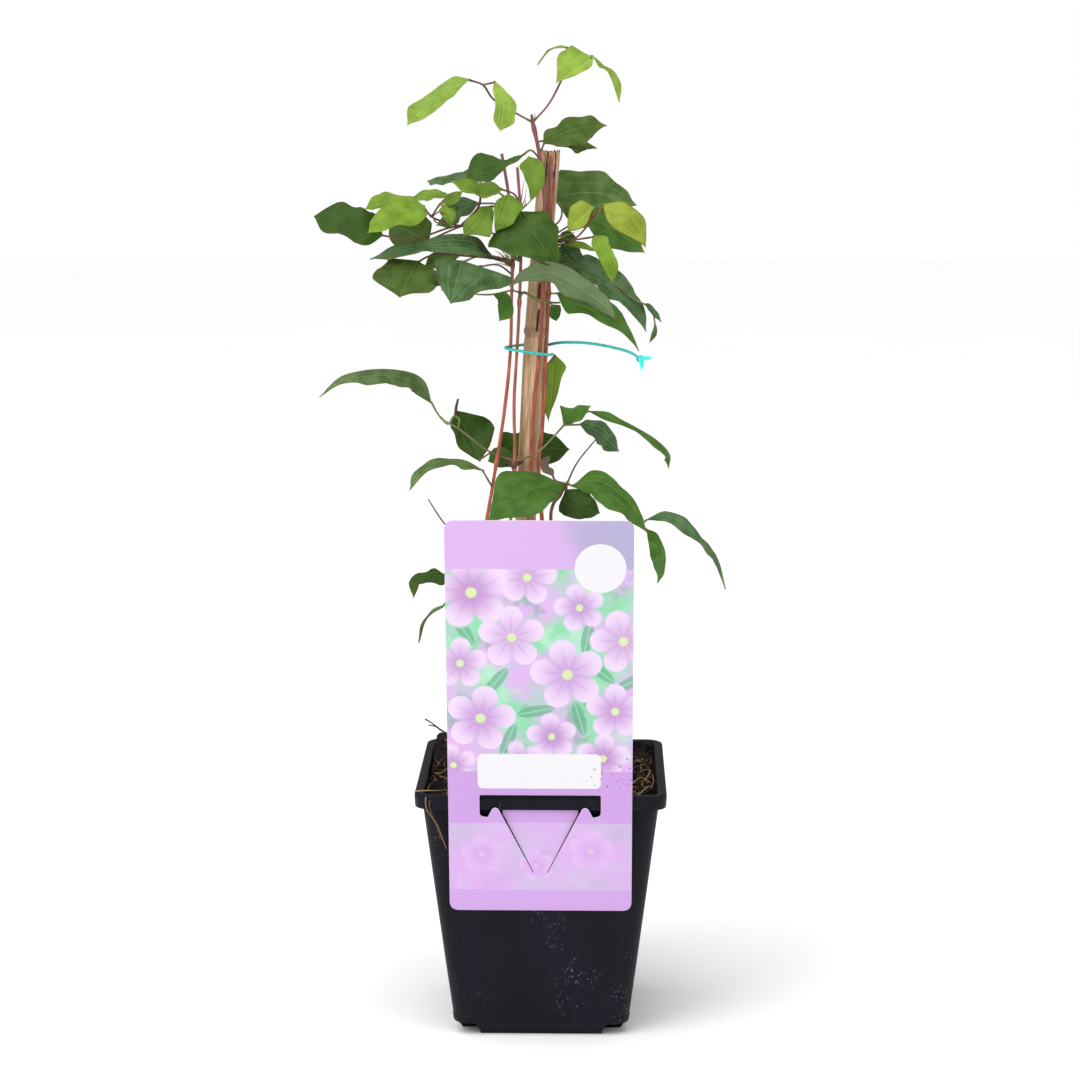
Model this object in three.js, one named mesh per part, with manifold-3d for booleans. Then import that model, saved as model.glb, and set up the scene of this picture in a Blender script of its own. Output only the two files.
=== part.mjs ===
// A young climbing clematis in a square nursery pot: five leafy stems on a bamboo cane,
// tied with twine, and a hang label on the pot's rim.
// Millimetres, +Z up. The origin is the centre of the pot's foot, on the surface it stands on,
// and -Y is the front, where the label hangs.

import * as THREE from 'three';
import { mergeVertices } from 'three/addons/utils/BufferGeometryUtils.js';
import Module from 'manifold-3d';

const wasm = await Module();
wasm.setup();

// ---- driving dimensions ----

const FIT = 0.3; // clearance between pieces that touch

// pot
const RIM_TOP = 134; // height of the pot
const RIM_HALF = 65; // half the width over the rim
const RIM_DEPTH = 7.3; // height of the turned-down skirt
const RIM_DRAFT = 0.996; // the skirt narrows downwards by this much
const SKIRT_WALL = 1.5;
const SHOULDER_HALF = 60.9; // half the width of the wall just under the rim
const BASE_HALF = 46.2; // half the width at the foot of the wall
const BASE_RISE = 6.3; // the corners of the base stand this high
const WALL = 1.5;
const FOOT_HALF = 34.3; // half the width of each bar of the cross-shaped foot
const FOOT_TAPER = 0.92;
const DRAIN_RADIUS = 5;
const DRAIN_PLACE = 38.9;
const CORNER_RADIUS = 9;
const CORNER_SEGMENTS = 4;

// soil
const SOIL_LEVEL = 128.5;
const MOUND = { x: -28, y: 42, height: 21, spread: 25 };
const SOIL_GRID = 12;
const HOLE_ROOM = 0.2; // the holes' flat sides come this much nearer than their corners

// cane
const CANE_RADIUS = 5.5;
const CANE_TAPER = 0.1;
const CANE_SIDES = 12;
const CANE_PATH = [[-23, 2.6, 16], [-16, 2, 133], [-7.5, 0.5, 299], [-4.1, 0, 367], [3.7, 0, 459]];

// label
const CARD = { width: 94, height: 214, thickness: 0.7, corner: 5 };
const CARD_LEAN = THREE.MathUtils.degToRad(10.5);
const CARD_FOOT = { y: -55.2, z: 71 }; // middle of the card's lower edge
const SLOT = { half: 31, top: 65.4, notch: 52.5, notchHalf: 4, round: 0.8 };
const LUG = { x: 23, y: 58.3, half: 1.6 };
const FLAP = { hinge: 21.5, hingeHalf: 3, root: 1.5, half: 19.4, shoulder: 33, height: 39.5, lean: 5.2 };

// twine
const TWINE_RADIUS = 0.75;
const LOOP_PATH = [
  [4.9, -2.5, 354.6], [5.0, -6.5, 354.7], [2.6, -10.9, 355], [-4, -12.2, 356], [-12, -12, 357.2],
  [-17.6, -10.6, 358], [-19.2, -7.6, 358.4], [-16.6, -3.6, 358.6], [-12.4, 3.2, 358.6],
  [-8, 6.4, 358.6], [-2.4, 6.6, 358.6], [2.2, 4.6, 358.6],
];
const TAIL_PATH = [
  [3.1, 4.0, 358.8], [5.6, 2.3, 359.6], [9.6, 0.6, 360.3], [14, -0.4, 360.5], [19, -1.2, 360.5],
  [24, -2, 360.2], [29, -3, 359.6], [34, -4.2, 358.8], [39, -5.6, 357.8], [43, -6.8, 356.8],
  [46.4, -8, 355.6], [48.4, -8.8, 354.4],
];
const KNOT = { x: 50.6, y: -9.6, z: 352.9, radius: 2 };

// stems and leaf stalks
const STEM_SIDES = 6;
const STALK_SIDES = 4;
const STALK_RADIUS = 0.65;
const STALK_SWELL = 1.15; // a stalk is thicker where it leaves its stem
const TWIG = { radius: 0.8, tipRadius: 0.5 };

// leaf blades
const BLADE_THICKNESS = 0.7;
const BLADE_ROWS = 6;
const BLADE_COLUMNS = 4;
const MIDDLE_WIDTH = 20; // blades narrower than this have a row less
const SMALL_WIDTH = 14.5; // and narrower than this, two rows less and half the columns
const TIP_POWER = 0.75; // a smaller power makes a blunter leaf
const TIP_HALF = 0.45;
const BLADE_PARTS = 6; // the halves' widths are given where these even parts of a blade meet
const BLADE_SINK = 1.2; // the stalk's end lies this far inside the blade
const FOLD = { mean: 0.26, change: 0.05, ease: 0.16 }; // how far the halves rise from the midrib
const WAVE = { height: 0.09, count: 2.2, change: 0.45 }; // the ripple along the edges

// ---- solids ----

function toSolid(geometry) {
  const bare = new THREE.BufferGeometry();
  bare.setAttribute('position', geometry.getAttribute('position'));
  if (geometry.index) bare.setIndex(geometry.index);
  const merged = mergeVertices(bare, 1e-4);
  return new wasm.Manifold(new wasm.Mesh({
    numProp: 3,
    vertProperties: new Float32Array(merged.getAttribute('position').array),
    triVerts: new Uint32Array(merged.index.array),
  }));
}

function toGeometry(solid) {
  const mesh = solid.getMesh();
  const geometry = new THREE.BufferGeometry();
  geometry.setAttribute('position', new THREE.BufferAttribute(new Float32Array(mesh.vertProperties), 3));
  geometry.setIndex(new THREE.BufferAttribute(new Uint32Array(mesh.triVerts), 1));
  geometry.computeVertexNormals();
  return geometry;
}

function join(solids) {
  return solids.reduce((whole, solid) => whole.add(solid));
}

function points(list) {
  return list.map(([x, y, z]) => new THREE.Vector3(x, y, z));
}

// A round bar along a curve, thinner towards its end.
function bar(path, startRadius, endRadius, sides, steps) {
  const curve = new THREE.CatmullRomCurve3(points(path), false, 'centripetal');
  const section = new THREE.Shape();
  for (let i = 0; i < sides; i += 1) {
    const angle = (2 * Math.PI * i) / sides;
    const x = startRadius * Math.cos(angle);
    const y = startRadius * Math.sin(angle);
    if (i === 0) section.moveTo(x, y);
    else section.lineTo(x, y);
  }
  section.closePath();
  const geometry = new THREE.ExtrudeGeometry(section, { steps, extrudePath: curve, bevelEnabled: false });
  const centres = curve.getSpacedPoints(steps);
  const position = geometry.getAttribute('position');
  const point = new THREE.Vector3();
  for (let i = 0; i < position.count; i += 1) {
    point.fromBufferAttribute(position, i);
    let nearest = 0;
    for (let k = 1; k <= steps; k += 1) {
      if (point.distanceToSquared(centres[k]) < point.distanceToSquared(centres[nearest])) nearest = k;
    }
    const scale = THREE.MathUtils.lerp(1, endRadius / startRadius, nearest / steps);
    point.sub(centres[nearest]).multiplyScalar(scale).add(centres[nearest]);
    position.setXYZ(i, point.x, point.y, point.z);
  }
  return toSolid(geometry);
}

// ---- pot ----

function roundedSquare(half, radius) {
  const shape = new THREE.Shape();
  const inner = half - radius;
  shape.moveTo(half, -inner);
  shape.absarc(inner, inner, radius, 0, Math.PI / 2);
  shape.absarc(-inner, inner, radius, Math.PI / 2, Math.PI);
  shape.absarc(-inner, -inner, radius, Math.PI, 1.5 * Math.PI);
  shape.absarc(inner, -inner, radius, 1.5 * Math.PI, 2 * Math.PI);
  return shape;
}

// An upright block over an outline, its lower end narrowed by a scale.
function taperedBlock(outline, bottom, top, lowScale) {
  const height = top - bottom;
  const settings = { depth: height, bevelEnabled: false, curveSegments: CORNER_SEGMENTS };
  const geometry = new THREE.ExtrudeGeometry(outline, settings);
  const position = geometry.getAttribute('position');
  for (let i = 0; i < position.count; i += 1) {
    const scale = THREE.MathUtils.lerp(lowScale, 1, position.getZ(i) / height);
    position.setXYZ(i, position.getX(i) * scale, position.getY(i) * scale, position.getZ(i) + bottom);
  }
  return toSolid(geometry);
}

function wallHalfAt(z) {
  const slope = (SHOULDER_HALF - BASE_HALF) / (RIM_TOP - RIM_DEPTH - BASE_RISE);
  return BASE_HALF + slope * (z - BASE_RISE);
}

function frustum(bottom, top, inset) {
  const topHalf = wallHalfAt(top) - inset;
  const outline = roundedSquare(topHalf, CORNER_RADIUS - inset);
  return taperedBlock(outline, bottom, top, (wallHalfAt(bottom) - inset) / topHalf);
}

// The two crossed bars of the foot, reaching out to the wall.
function footCross(bottom, top, inset) {
  const reach = wallHalfAt(top) - inset;
  const half = FOOT_HALF - inset;
  const outline = new THREE.Shape();
  const corners = [
    [reach, half], [half, half], [half, reach], [-half, reach], [-half, half], [-reach, half],
    [-reach, -half], [-half, -half], [-half, -reach], [half, -reach], [half, -half], [reach, -half],
  ];
  corners.forEach(([x, y], i) => (i === 0 ? outline.moveTo(x, y) : outline.lineTo(x, y)));
  outline.closePath();
  return taperedBlock(outline, bottom, top, FOOT_TAPER);
}

// The space inside the pot, narrowed by a clearance: the filling has the same shape.
function potInside(clearance, top) {
  const inset = WALL + clearance;
  const floor = BASE_RISE + inset;
  return frustum(floor, top, inset).add(footCross(inset, floor + 1, inset));
}

function makePot() {
  const skirtBottom = RIM_TOP - RIM_DEPTH;
  const rim = taperedBlock(roundedSquare(RIM_HALF, CORNER_RADIUS), skirtBottom, RIM_TOP, RIM_DRAFT);
  const pocket = taperedBlock(
    roundedSquare(RIM_HALF - SKIRT_WALL, CORNER_RADIUS - SKIRT_WALL),
    skirtBottom - 1, RIM_TOP - SKIRT_WALL, RIM_DRAFT,
  );
  const wall = frustum(BASE_RISE, RIM_TOP, 0);
  let pot = rim.subtract(pocket).add(wall).add(footCross(0, BASE_RISE + 1, 0));
  pot = pot.subtract(potInside(0, RIM_TOP + 1));
  for (const x of [-DRAIN_PLACE, DRAIN_PLACE]) {
    for (const y of [-DRAIN_PLACE, DRAIN_PLACE]) {
      const hole = new THREE.CylinderGeometry(DRAIN_RADIUS, DRAIN_RADIUS, 12, 12);
      hole.rotateX(Math.PI / 2).translate(x, y, BASE_RISE);
      pot = pot.subtract(toSolid(hole));
    }
  }
  return pot;
}

// ---- soil ----

function soilHeight(x, y) {
  const distance = (x - MOUND.x) ** 2 + (y - MOUND.y) ** 2;
  const mound = MOUND.height * Math.exp(-distance / (2 * MOUND.spread ** 2));
  const lumps = 1.3 * Math.sin(x * 0.31 + 1.2 * Math.sin(y * 0.17)) * Math.sin(y * 0.27 + 0.6);
  const crumbs = 0.7 * Math.sin(x * 0.83 + y * 0.47) + 0.5 * Math.sin(y * 0.95 - x * 0.38);
  return SOIL_LEVEL + mound + lumps + crumbs;
}

function makeSoil(holes) {
  const size = 2 * RIM_HALF;
  const ground = new THREE.BoxGeometry(size, size, RIM_TOP, SOIL_GRID, SOIL_GRID, 1);
  const position = ground.getAttribute('position');
  for (let i = 0; i < position.count; i += 1) {
    const top = position.getZ(i) > 0;
    position.setZ(i, top ? soilHeight(position.getX(i), position.getY(i)) : 0);
  }
  let soil = potInside(FIT, RIM_TOP + 40).intersect(toSolid(ground));
  for (const hole of holes) soil = soil.subtract(hole);
  return soil;
}

// ---- cane ----

function makeCane() {
  return bar(CANE_PATH, CANE_RADIUS, CANE_RADIUS - CANE_TAPER, CANE_SIDES, CANE_SIDES);
}

// ---- label ----

function cardOutline() {
  const half = CARD.width / 2;
  const r = CARD.corner;
  const outline = new THREE.Shape();
  outline.moveTo(half, r);
  outline.absarc(half - r, CARD.height - r, r, 0, Math.PI / 2);
  outline.absarc(-half + r, CARD.height - r, r, Math.PI / 2, Math.PI);
  outline.absarc(-half + r, r, r, Math.PI, 1.5 * Math.PI);
  outline.absarc(half - r, r, r, 1.5 * Math.PI, 2 * Math.PI);
  return outline;
}

// The slot for the rim, its two side notches and the V that frees the flap, as one opening.
function slotOutline() {
  const slot = new THREE.Path();
  const notchX = SLOT.half - SLOT.notchHalf;
  slot.moveTo(-SLOT.half, SLOT.top);
  for (const side of [-1, 1]) {
    const down = [
      [SLOT.half, SLOT.notch + SLOT.notchHalf * 0.75], [notchX + SLOT.notchHalf / 2, SLOT.notch],
      [notchX - 1, SLOT.notch + 1], [LUG.x + LUG.half, LUG.y - SLOT.round],
      [LUG.x, LUG.y], [LUG.x - LUG.half, LUG.y - SLOT.round],
      [FLAP.hingeHalf + SLOT.round, FLAP.hinge],
    ];
    const run = side < 0 ? down : [...down].reverse();
    run.forEach(([x, y]) => slot.lineTo(side * x, y));
  }
  slot.lineTo(SLOT.half, SLOT.top);
  slot.closePath();
  return slot;
}

function placeOnCard(geometry) {
  geometry.translate(0, 0, -CARD.thickness / 2);
  geometry.rotateX(Math.PI / 2 + CARD_LEAN);
  geometry.translate(0, CARD_FOOT.y, CARD_FOOT.z);
  return toSolid(geometry);
}

// The flap bends back from its hinge, so that its end lies behind the rim's skirt.
function flapGeometry() {
  const outline = new THREE.Shape();
  outline.moveTo(-FLAP.hingeHalf, -FLAP.root);
  outline.lineTo(FLAP.hingeHalf, -FLAP.root);
  outline.lineTo(FLAP.hingeHalf, 0);
  outline.lineTo(FLAP.half, FLAP.shoulder);
  outline.lineTo(FLAP.half, FLAP.height);
  outline.lineTo(-FLAP.half, FLAP.height);
  outline.lineTo(-FLAP.half, FLAP.shoulder);
  outline.lineTo(-FLAP.hingeHalf, 0);
  outline.closePath();
  const settings = { depth: CARD.thickness, bevelEnabled: false };
  const geometry = new THREE.ExtrudeGeometry(outline, settings);
  geometry.translate(0, 0, -CARD.thickness / 2);
  geometry.rotateX(THREE.MathUtils.degToRad(-FLAP.lean));
  geometry.translate(0, FLAP.hinge, CARD.thickness / 2);
  return geometry;
}

function makeLabel() {
  const outline = cardOutline();
  outline.holes.push(slotOutline());
  const settings = { depth: CARD.thickness, bevelEnabled: false, curveSegments: 5 };
  const card = new THREE.ExtrudeGeometry(outline, settings);
  return placeOnCard(card).add(placeOnCard(flapGeometry()));
}

// ---- twine ----

function makeKnot() {
  const knot = new THREE.IcosahedronGeometry(KNOT.radius, 1);
  knot.scale(1.1, 0.9, 0.85).translate(KNOT.x, KNOT.y, KNOT.z);
  return toSolid(knot);
}

// ---- leaves ----

// The widths of an oval blade's two halves, where its even parts meet. It is widest at "belly".
function oval(width, belly, tipPower = TIP_POWER) {
  const basePower = (tipPower * belly) / (1 - belly);
  const half = [];
  for (let place = 1; place < BLADE_PARTS; place += 1) {
    const u = place / BLADE_PARTS;
    half.push((width / 2) * (u / belly) ** basePower * ((1 - u) / (1 - belly)) ** tipPower);
  }
  return [half, half];
}

// The width of one half at u, on a smooth line through the places where it is given.
function halfWidth(given, u) {
  const line = [0, ...given, 0];
  const part = Math.min(BLADE_PARTS - 1, Math.floor(u * BLADE_PARTS));
  const t = u * BLADE_PARTS - part;
  const before = part > 0 ? line[part - 1] : 0;
  const after = part < BLADE_PARTS - 1 ? line[part + 2] : 0;
  const leave = (line[part + 1] - before) / 2;
  const reach = (after - line[part]) / 2;
  const start = line[part] * (2 * t ** 3 - 3 * t ** 2 + 1) + leave * (t ** 3 - 2 * t ** 2 + t);
  return start + line[part + 1] * (3 * t ** 2 - 2 * t ** 3) + reach * (t ** 3 - t ** 2);
}

// A thin curved blade: it follows its midrib, is folded along it and waved at its edges.
function makeBlade({ spine, sides, face }, index) {
  const width = Math.max(...sides[0].map((left, place) => left + sides[1][place]));
  const small = width < SMALL_WIDTH;
  const rows = BLADE_ROWS - (width < MIDDLE_WIDTH ? 1 : 0) - (small ? 1 : 0);
  const columns = small ? BLADE_COLUMNS / 2 : BLADE_COLUMNS;
  const midrib = new THREE.CatmullRomCurve3(points(spine), false, 'centripetal');
  const upper = new THREE.Vector3(...face).normalize();
  const fold = FOLD.mean + FOLD.change * Math.sin(index * 2.3);
  const waves = WAVE.count + (index % 3) * WAVE.change;
  const vertices = [];
  for (let row = 0; row <= rows; row += 1) {
    const u = row / rows;
    const centre = midrib.getPointAt(u);
    const along = midrib.getTangentAt(u);
    const normal = upper.clone().addScaledVector(along, -upper.dot(along)).normalize();
    const side = new THREE.Vector3().crossVectors(along, normal);
    for (let column = 0; column <= columns; column += 1) {
      const v = (2 * column) / columns - 1;
      const half = Math.max(TIP_HALF, halfWidth(sides[v < 0 ? 0 : 1], u));
      const phase = 1.7 * index + (v < 0 ? 2.1 : 0);
      const wave = WAVE.height * Math.sin(2 * Math.PI * waves * u + phase);
      const lift = half * (fold * Math.abs(v) + (wave - FOLD.ease) * v * v);
      const middle = centre.clone().addScaledVector(side, v * half).addScaledVector(normal, lift);
      for (const offset of [BLADE_THICKNESS / 2, -BLADE_THICKNESS / 2]) {
        vertices.push(...middle.clone().addScaledVector(normal, offset).toArray());
      }
    }
  }
  const rowLength = 2 * (columns + 1);
  const at = (row, column, under) => row * rowLength + column * 2 + under;
  const faces = [];
  const quad = (a, b, c, d) => faces.push(a, c, b, a, d, c);
  for (let row = 0; row < rows; row += 1) {
    for (let column = 0; column < columns; column += 1) {
      const next = column + 1;
      quad(at(row, column, 0), at(row + 1, column, 0), at(row + 1, next, 0), at(row, next, 0));
      faces.push(at(row, column, 1), at(row + 1, column, 1), at(row + 1, next, 1));
      faces.push(at(row, column, 1), at(row + 1, next, 1), at(row, next, 1));
    }
    quad(at(row, 0, 1), at(row + 1, 0, 1), at(row + 1, 0, 0), at(row, 0, 0));
    quad(at(row, columns, 0), at(row + 1, columns, 0), at(row + 1, columns, 1), at(row, columns, 1));
  }
  for (let column = 0; column < columns; column += 1) {
    quad(at(0, column, 1), at(0, column, 0), at(0, column + 1, 0), at(0, column + 1, 1));
    quad(at(rows, column, 0), at(rows, column, 1), at(rows, column + 1, 1), at(rows, column + 1, 0));
  }
  const geometry = new THREE.BufferGeometry();
  geometry.setAttribute('position', new THREE.Float32BufferAttribute(vertices, 3));
  geometry.setIndex(faces);
  return toSolid(geometry);
}

// The stalk runs from its stem, or from another stalk, into the blade's base.
function makeStalk({ stalk, spine }) {
  const base = new THREE.Vector3(...spine[0]);
  const next = new THREE.Vector3(...spine[1]);
  const end = base.clone().addScaledVector(next.sub(base).normalize(), BLADE_SINK);
  const course = [...stalk, end.toArray()];
  return bar(course, STALK_RADIUS * STALK_SWELL, STALK_RADIUS, STALK_SIDES, course.length + 1);
}

// A leaf: its stalk's course, its midrib's course, the widths of its left and its right half from
// the base to the tip, and where its upper face looks.
function leaf(stalk, spine, sides, face) {
  return { stalk, spine, sides, face };
}

function makeLeafyStem({ path, radius, tipRadius, leaves, twigs }) {
  const steps = Math.round(path.length * 1.4);
  const solids = [bar(path, radius, tipRadius, STEM_SIDES, steps)];
  leaves.forEach((item, index) => {
    solids.push(makeStalk(item));
    solids.push(makeBlade(item, index));
  });
  twigs.forEach((twig) => solids.push(bar(twig, TWIG.radius, TWIG.tipRadius, STALK_SIDES, 3)));
  return join(solids);
}

// ---- the five leafy stems ----

const OUTER = {
  path: [
    [-24, 9, 105], [-26, 8, 133], [-34, 4, 165], [-38, -2, 200], [-35, -6, 235], [-29, -8, 269],
    [-23.7, -8, 300], [-19.5, -8, 328], [-16.6, -8, 357], [-16, -8, 383], [-15.5, -6, 398],
    [-15.5, -5, 415], [-17.5, -4, 437], [-21, -4, 458],
  ],
  radius: 1.05,
  tipRadius: 0.8,
  twigs: [
    [[-16, -7, 388], [-28, -10, 386], [-52, -16, 389]],
    [[-42, -6, 421], [-33, -3, 431], [-32, -3, 440]],
    [[-35, -6, 243], [-40, -6, 254], [-51.6, -6, 266], [-59.9, -6, 278.7]],
  ],
  leaves: [
    // low pair at the left of the label
    leaf([[-34, -6.4, 243], [-44, -14, 245]],
      [[-50, -20, 241], [-60, -26, 241], [-67, -30, 239], [-66, -34, 231]],
      [[8, 8.5, 7.5, 5, 3.5], [4.9, 4, 3.7, 2.1, 0.9]], [-0.2, -0.55, 0.8]),
    leaf([[-34, -6.2, 241], [-45, 4, 229]], [[-53, 8, 219], [-62, 14, 212], [-67, 18, 197]],
      oval(9, 0.35), [-0.6, 0.1, 0.35]),
    // the one that hangs out to the left under the middle
    leaf([[-26, -8, 285]], [[-30, -14, 295], [-45, -18, 299.5], [-59, -24, 297], [-68, -30, 287]],
      [[8, 7.5, 6, 3, 1.5], [5.5, 5, 6, 6, 5]], [0, -0.2, 1]),
    leaf([[-16, -8, 374]], [[-19, -14, 388], [-20, -17, 381], [-22, -18, 373]],
      [[3.1, 4.7, 6, 6.2, 5], [5.6, 3.3, 3, 2, 1]], [-0.1, -1, 0.25]),
    // the two broad fans at the left, and the long strap over them
    leaf([[-15, -6, 403], [-30, -22, 407]], [[-40.4, -31, 405], [-43, -39, 395], [-45.8, -43, 384]],
      [[25, 23.5, 15, 10, 8.5], [12.4, 12.2, 10.8, 7.7, 3.8]], [0.1, -0.85, 0.6]),
    leaf([[-15, -6, 403], [-37, -14, 406], [-56, -20, 407]],
      [[-63, -26, 404.5], [-68, -32, 395.5], [-72, -35, 386.5]],
      [[14, 16, 16, 13, 5], [13, 14, 16, 17.2, 15.7]], [-0.1, -0.85, 0.6]),
    leaf([[-15, -6, 401]],
      [[-23, -14, 404], [-39, -21, 412], [-57, -26, 412], [-74, -27, 409], [-88, -22, 405]],
      [[9, 9, 7.5, 6, 5], [7.5, 6.3, 6.3, 4, 4.5]], [0, -0.55, 0.85]),
    leaf([[-15, -6, 403]], [[-40, -2, 407], [-51, 4, 404], [-62, 6, 399]], oval(24, 0.35),
      [0, -0.5, 0.8]),
    // the upper left tuft: one far dark leaf, young ones before it
    leaf([[-16, -5, 414], [-42, -6, 421], [-68, -6, 414]],
      [[-82, -7, 416], [-99, -9, 421], [-118, -6, 426]],
      [[8, 9.6, 7.2, 7.6, 7], [11, 12.6, 12.7, 12.4, 10]], [-0.05, -0.75, 0.65]),
    leaf([[-42, -6, 421], [-50, -8, 423], [-57, -10, 426]],
      [[-60, -14, 432], [-74, -25, 429], [-88, -34, 419]],
      [[10, 11.5, 12, 9, 6], [3.4, 4.8, 6.3, 6.5, 4.5]], [-0.1, -0.75, 0.65]),
    leaf([[-57, -10, 426]], [[-61, -13, 432], [-76, -12, 434.2], [-91, -10, 430]],
      [[5, 6, 6, 6, 5], [4.5, 4.8, 5, 8, 10]], [0, -0.5, 0.85]),
    leaf([[-57, -10, 426], [-53, -4, 432]], [[-48, 0, 436], [-58, 3, 437], [-68, 6, 435]],
      [[3.3, 5, 6.7, 6.5, 3], [2.6, 3.6, 3.9, 4.1, 3.1]], [0, -0.5, 0.85]),
    leaf([[-53, -4, 432]], [[-51, -6, 433], [-46, -10, 435], [-41, -12, 439]], oval(7, 0.4),
      [0, -0.9, 0.4]),
    leaf([[-53, -4, 432]], [[-51, -8, 432], [-48, -12, 427], [-47, -13, 421]], oval(8, 0.35),
      [0.2, -0.9, 0.3]),
    leaf([[-42, -6, 421], [-53, 0, 416]], [[-59, 2, 412], [-69, 5, 417], [-80, 8, 422]],
      oval(23, 0.45, 0.5), [0.1, -0.8, 0.5]),
    // one that reaches back, behind the fans
    leaf([[-15.5, -6, 396], [-24, 10, 400]], [[-34, 22, 398], [-48, 34, 395], [-62, 42, 386]],
      oval(23, 0.4), [-0.2, 0.3, 0.9]),
  ],
};

const INNER = {
  path: [
    [-13, -8, 105], [-14, -7, 133], [-16, -7, 200], [-17, -7, 260], [-14.5, -7, 299], [-14.8, -7, 329],
    [-13.2, -8, 357], [-11.9, -7, 382], [-11.2, -5, 405], [-11.5, -4, 430], [-13, -3, 451],
  ],
  radius: 1,
  tipRadius: 0.75,
  twigs: [[[-12, -7, 384], [-10, -8.5, 387], [-3, -12.5, 384], [6, -11.5, 382], [9, -10, 382]]],
  leaves: [
    // the low node: a long leaf out to the left, one before and two behind it
    leaf([[-14, -7, 299], [-27, -3, 303], [-44, -6, 316], [-53, -8, 322]],
      [[-57, -10, 329], [-65, -14, 343], [-79, -20, 348], [-97, -26, 346], [-114, -30, 335]],
      [[7, 10, 11, 8, 1.5], [2, 1, 0.5, 1, 2.5]], [0, -0.75, 0.65]),
    leaf([[-27, -3, 303]], [[-33, 4, 297], [-39, 10, 309], [-46, 8, 324]],
      [[3.7, 6.5, 7.2, 6.3, 5.6], [7.3, 12, 14.8, 12.4, 6.4]], [0.1, -0.95, 0.2]),
    leaf([[-14, -7, 299], [-20, 2, 297]], [[-24, 9, 299], [-4, 15, 303], [14, 18, 302]],
      [[12, 9.8, 10, 8, 6], [4, 5, 8, 9.5, 7.3]], [0, -0.9, 0.35]),
    leaf([[-14, -7, 299]], [[-17, 0, 295], [-23, 4, 300], [-29, 6, 297]], oval(12, 0.4),
      [0, -0.7, 0.6]),
    // the low node's right side
    leaf([[-14, -7, 299], [-12, -12, 300], [-2, -14, 305], [7, -14, 314]],
      [[11, -15, 319], [17, -19, 325], [25, -22, 330]], [[9.5, 6.3, 3.9, 3.6, 2], [2, 3.8, 5.3, 6, 4]],
      [-0.2, -0.75, 0.6]),
    leaf([[11, -15, 319]], [[19, -10, 319], [30, -2, 313], [40, 2, 303]],
      [[4, 6, 7, 6, 3.5], [4, 6, 7, 7, 5]], [0.1, -0.75, 0.65]),
    leaf([[11, -15, 319]],
      [[23, -18, 327], [36, -18, 323], [53, -10, 314], [66, -2, 302], [66, 0, 294]],
      [[2.5, 1.5, 1, 1, 0.8], [3, 2.5, 2.5, 5, 5.5]], [0.1, -0.7, 0.7]),
    // across the cane: one turned to show its underside, and the big one above
    leaf([[-12, -7, 387], [-15, -11.5, 388.5]],
      [[-17, -13, 390.5], [-9, -17, 395.5], [4, -22, 398], [20, -26, 390], [33, -27, 381], [38, -26, 374.5]],
      [[3, 7, 9.5, 9, 6.5], [4, 8.5, 8, 8.5, 5]], [0.25, 0.75, 0.62]),
    leaf([[-11, -5, 416], [-13, -10, 423]], [[-12.5, -13, 429], [-2, -22, 415], [9, -25, 401]],
      [[9.5, 12.5, 12.5, 9.2, 5], [19, 21, 16, 10, 6]], [0.1, -0.92, 0.35]),
    // young leaves round the upper nodes
    leaf([[-11, -5, 422], [-14, -10, 435]], [[-17, -14, 438], [-20, -20, 429], [-24, -22, 419]],
      [[7.9, 8.9, 8.1, 7.2, 4], [3.2, 5.2, 5, 3.4, 1.8]], [0.1, -0.92, 0.35]),
    leaf([[-11, -5, 422], [-22, -8, 431]], [[-26, -12, 432], [-33, -20, 424], [-40, -24, 417]],
      [[4, 6.5, 8.7, 10.3, 4.3], [3.7, 4, 4.6, 5.1, 4]], [-0.1, -0.85, 0.5]),
    leaf([[-11, -4, 422], [-22, 6, 431]], [[-33, 16, 432], [-45, 26, 427], [-57, 34, 419]],
      [[6.5, 8, 8, 8, 4.5], [3, 6.5, 8, 5, 3]], [0, -0.75, 0.6]),
    leaf([[-11.5, -5, 411]], [[-17.6, -9.5, 408.5], [-20.5, -9.6, 412], [-24, -9, 416]], oval(4, 0.5),
      [0, -0.9, 0.4]),
    leaf([[-11.3, -4, 427], [-14, -8, 437]], [[-20, -8.6, 440], [-33, -9, 440], [-47, -10, 444]],
      oval(17, 0.4), [0, -0.45, 0.9]),
    leaf([[-11, -4, 429], [-25, 6, 439]], [[-36, 10, 445], [-49, 16, 445], [-61, 22, 443]],
      [[3, 5, 7, 7.5, 6], [6, 5, 3, 2, 1.5]], [0, -0.55, 0.8]),
    // two that reach back, behind the middle and behind the low node
    leaf([[-11.3, -5, 412], [-12, 6, 418]], [[-9, 14, 417], [-7, 30, 415], [-4, 47, 405]],
      oval(22, 0.4), [0, 0.1, 1]),
    leaf([[-15, -7, 290], [-18, 4, 286]], [[-12, 12, 283], [-8, 30, 279], [0, 48, 266]], oval(21, 0.4),
      [0, 0.2, 1]),
  ],
};

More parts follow.
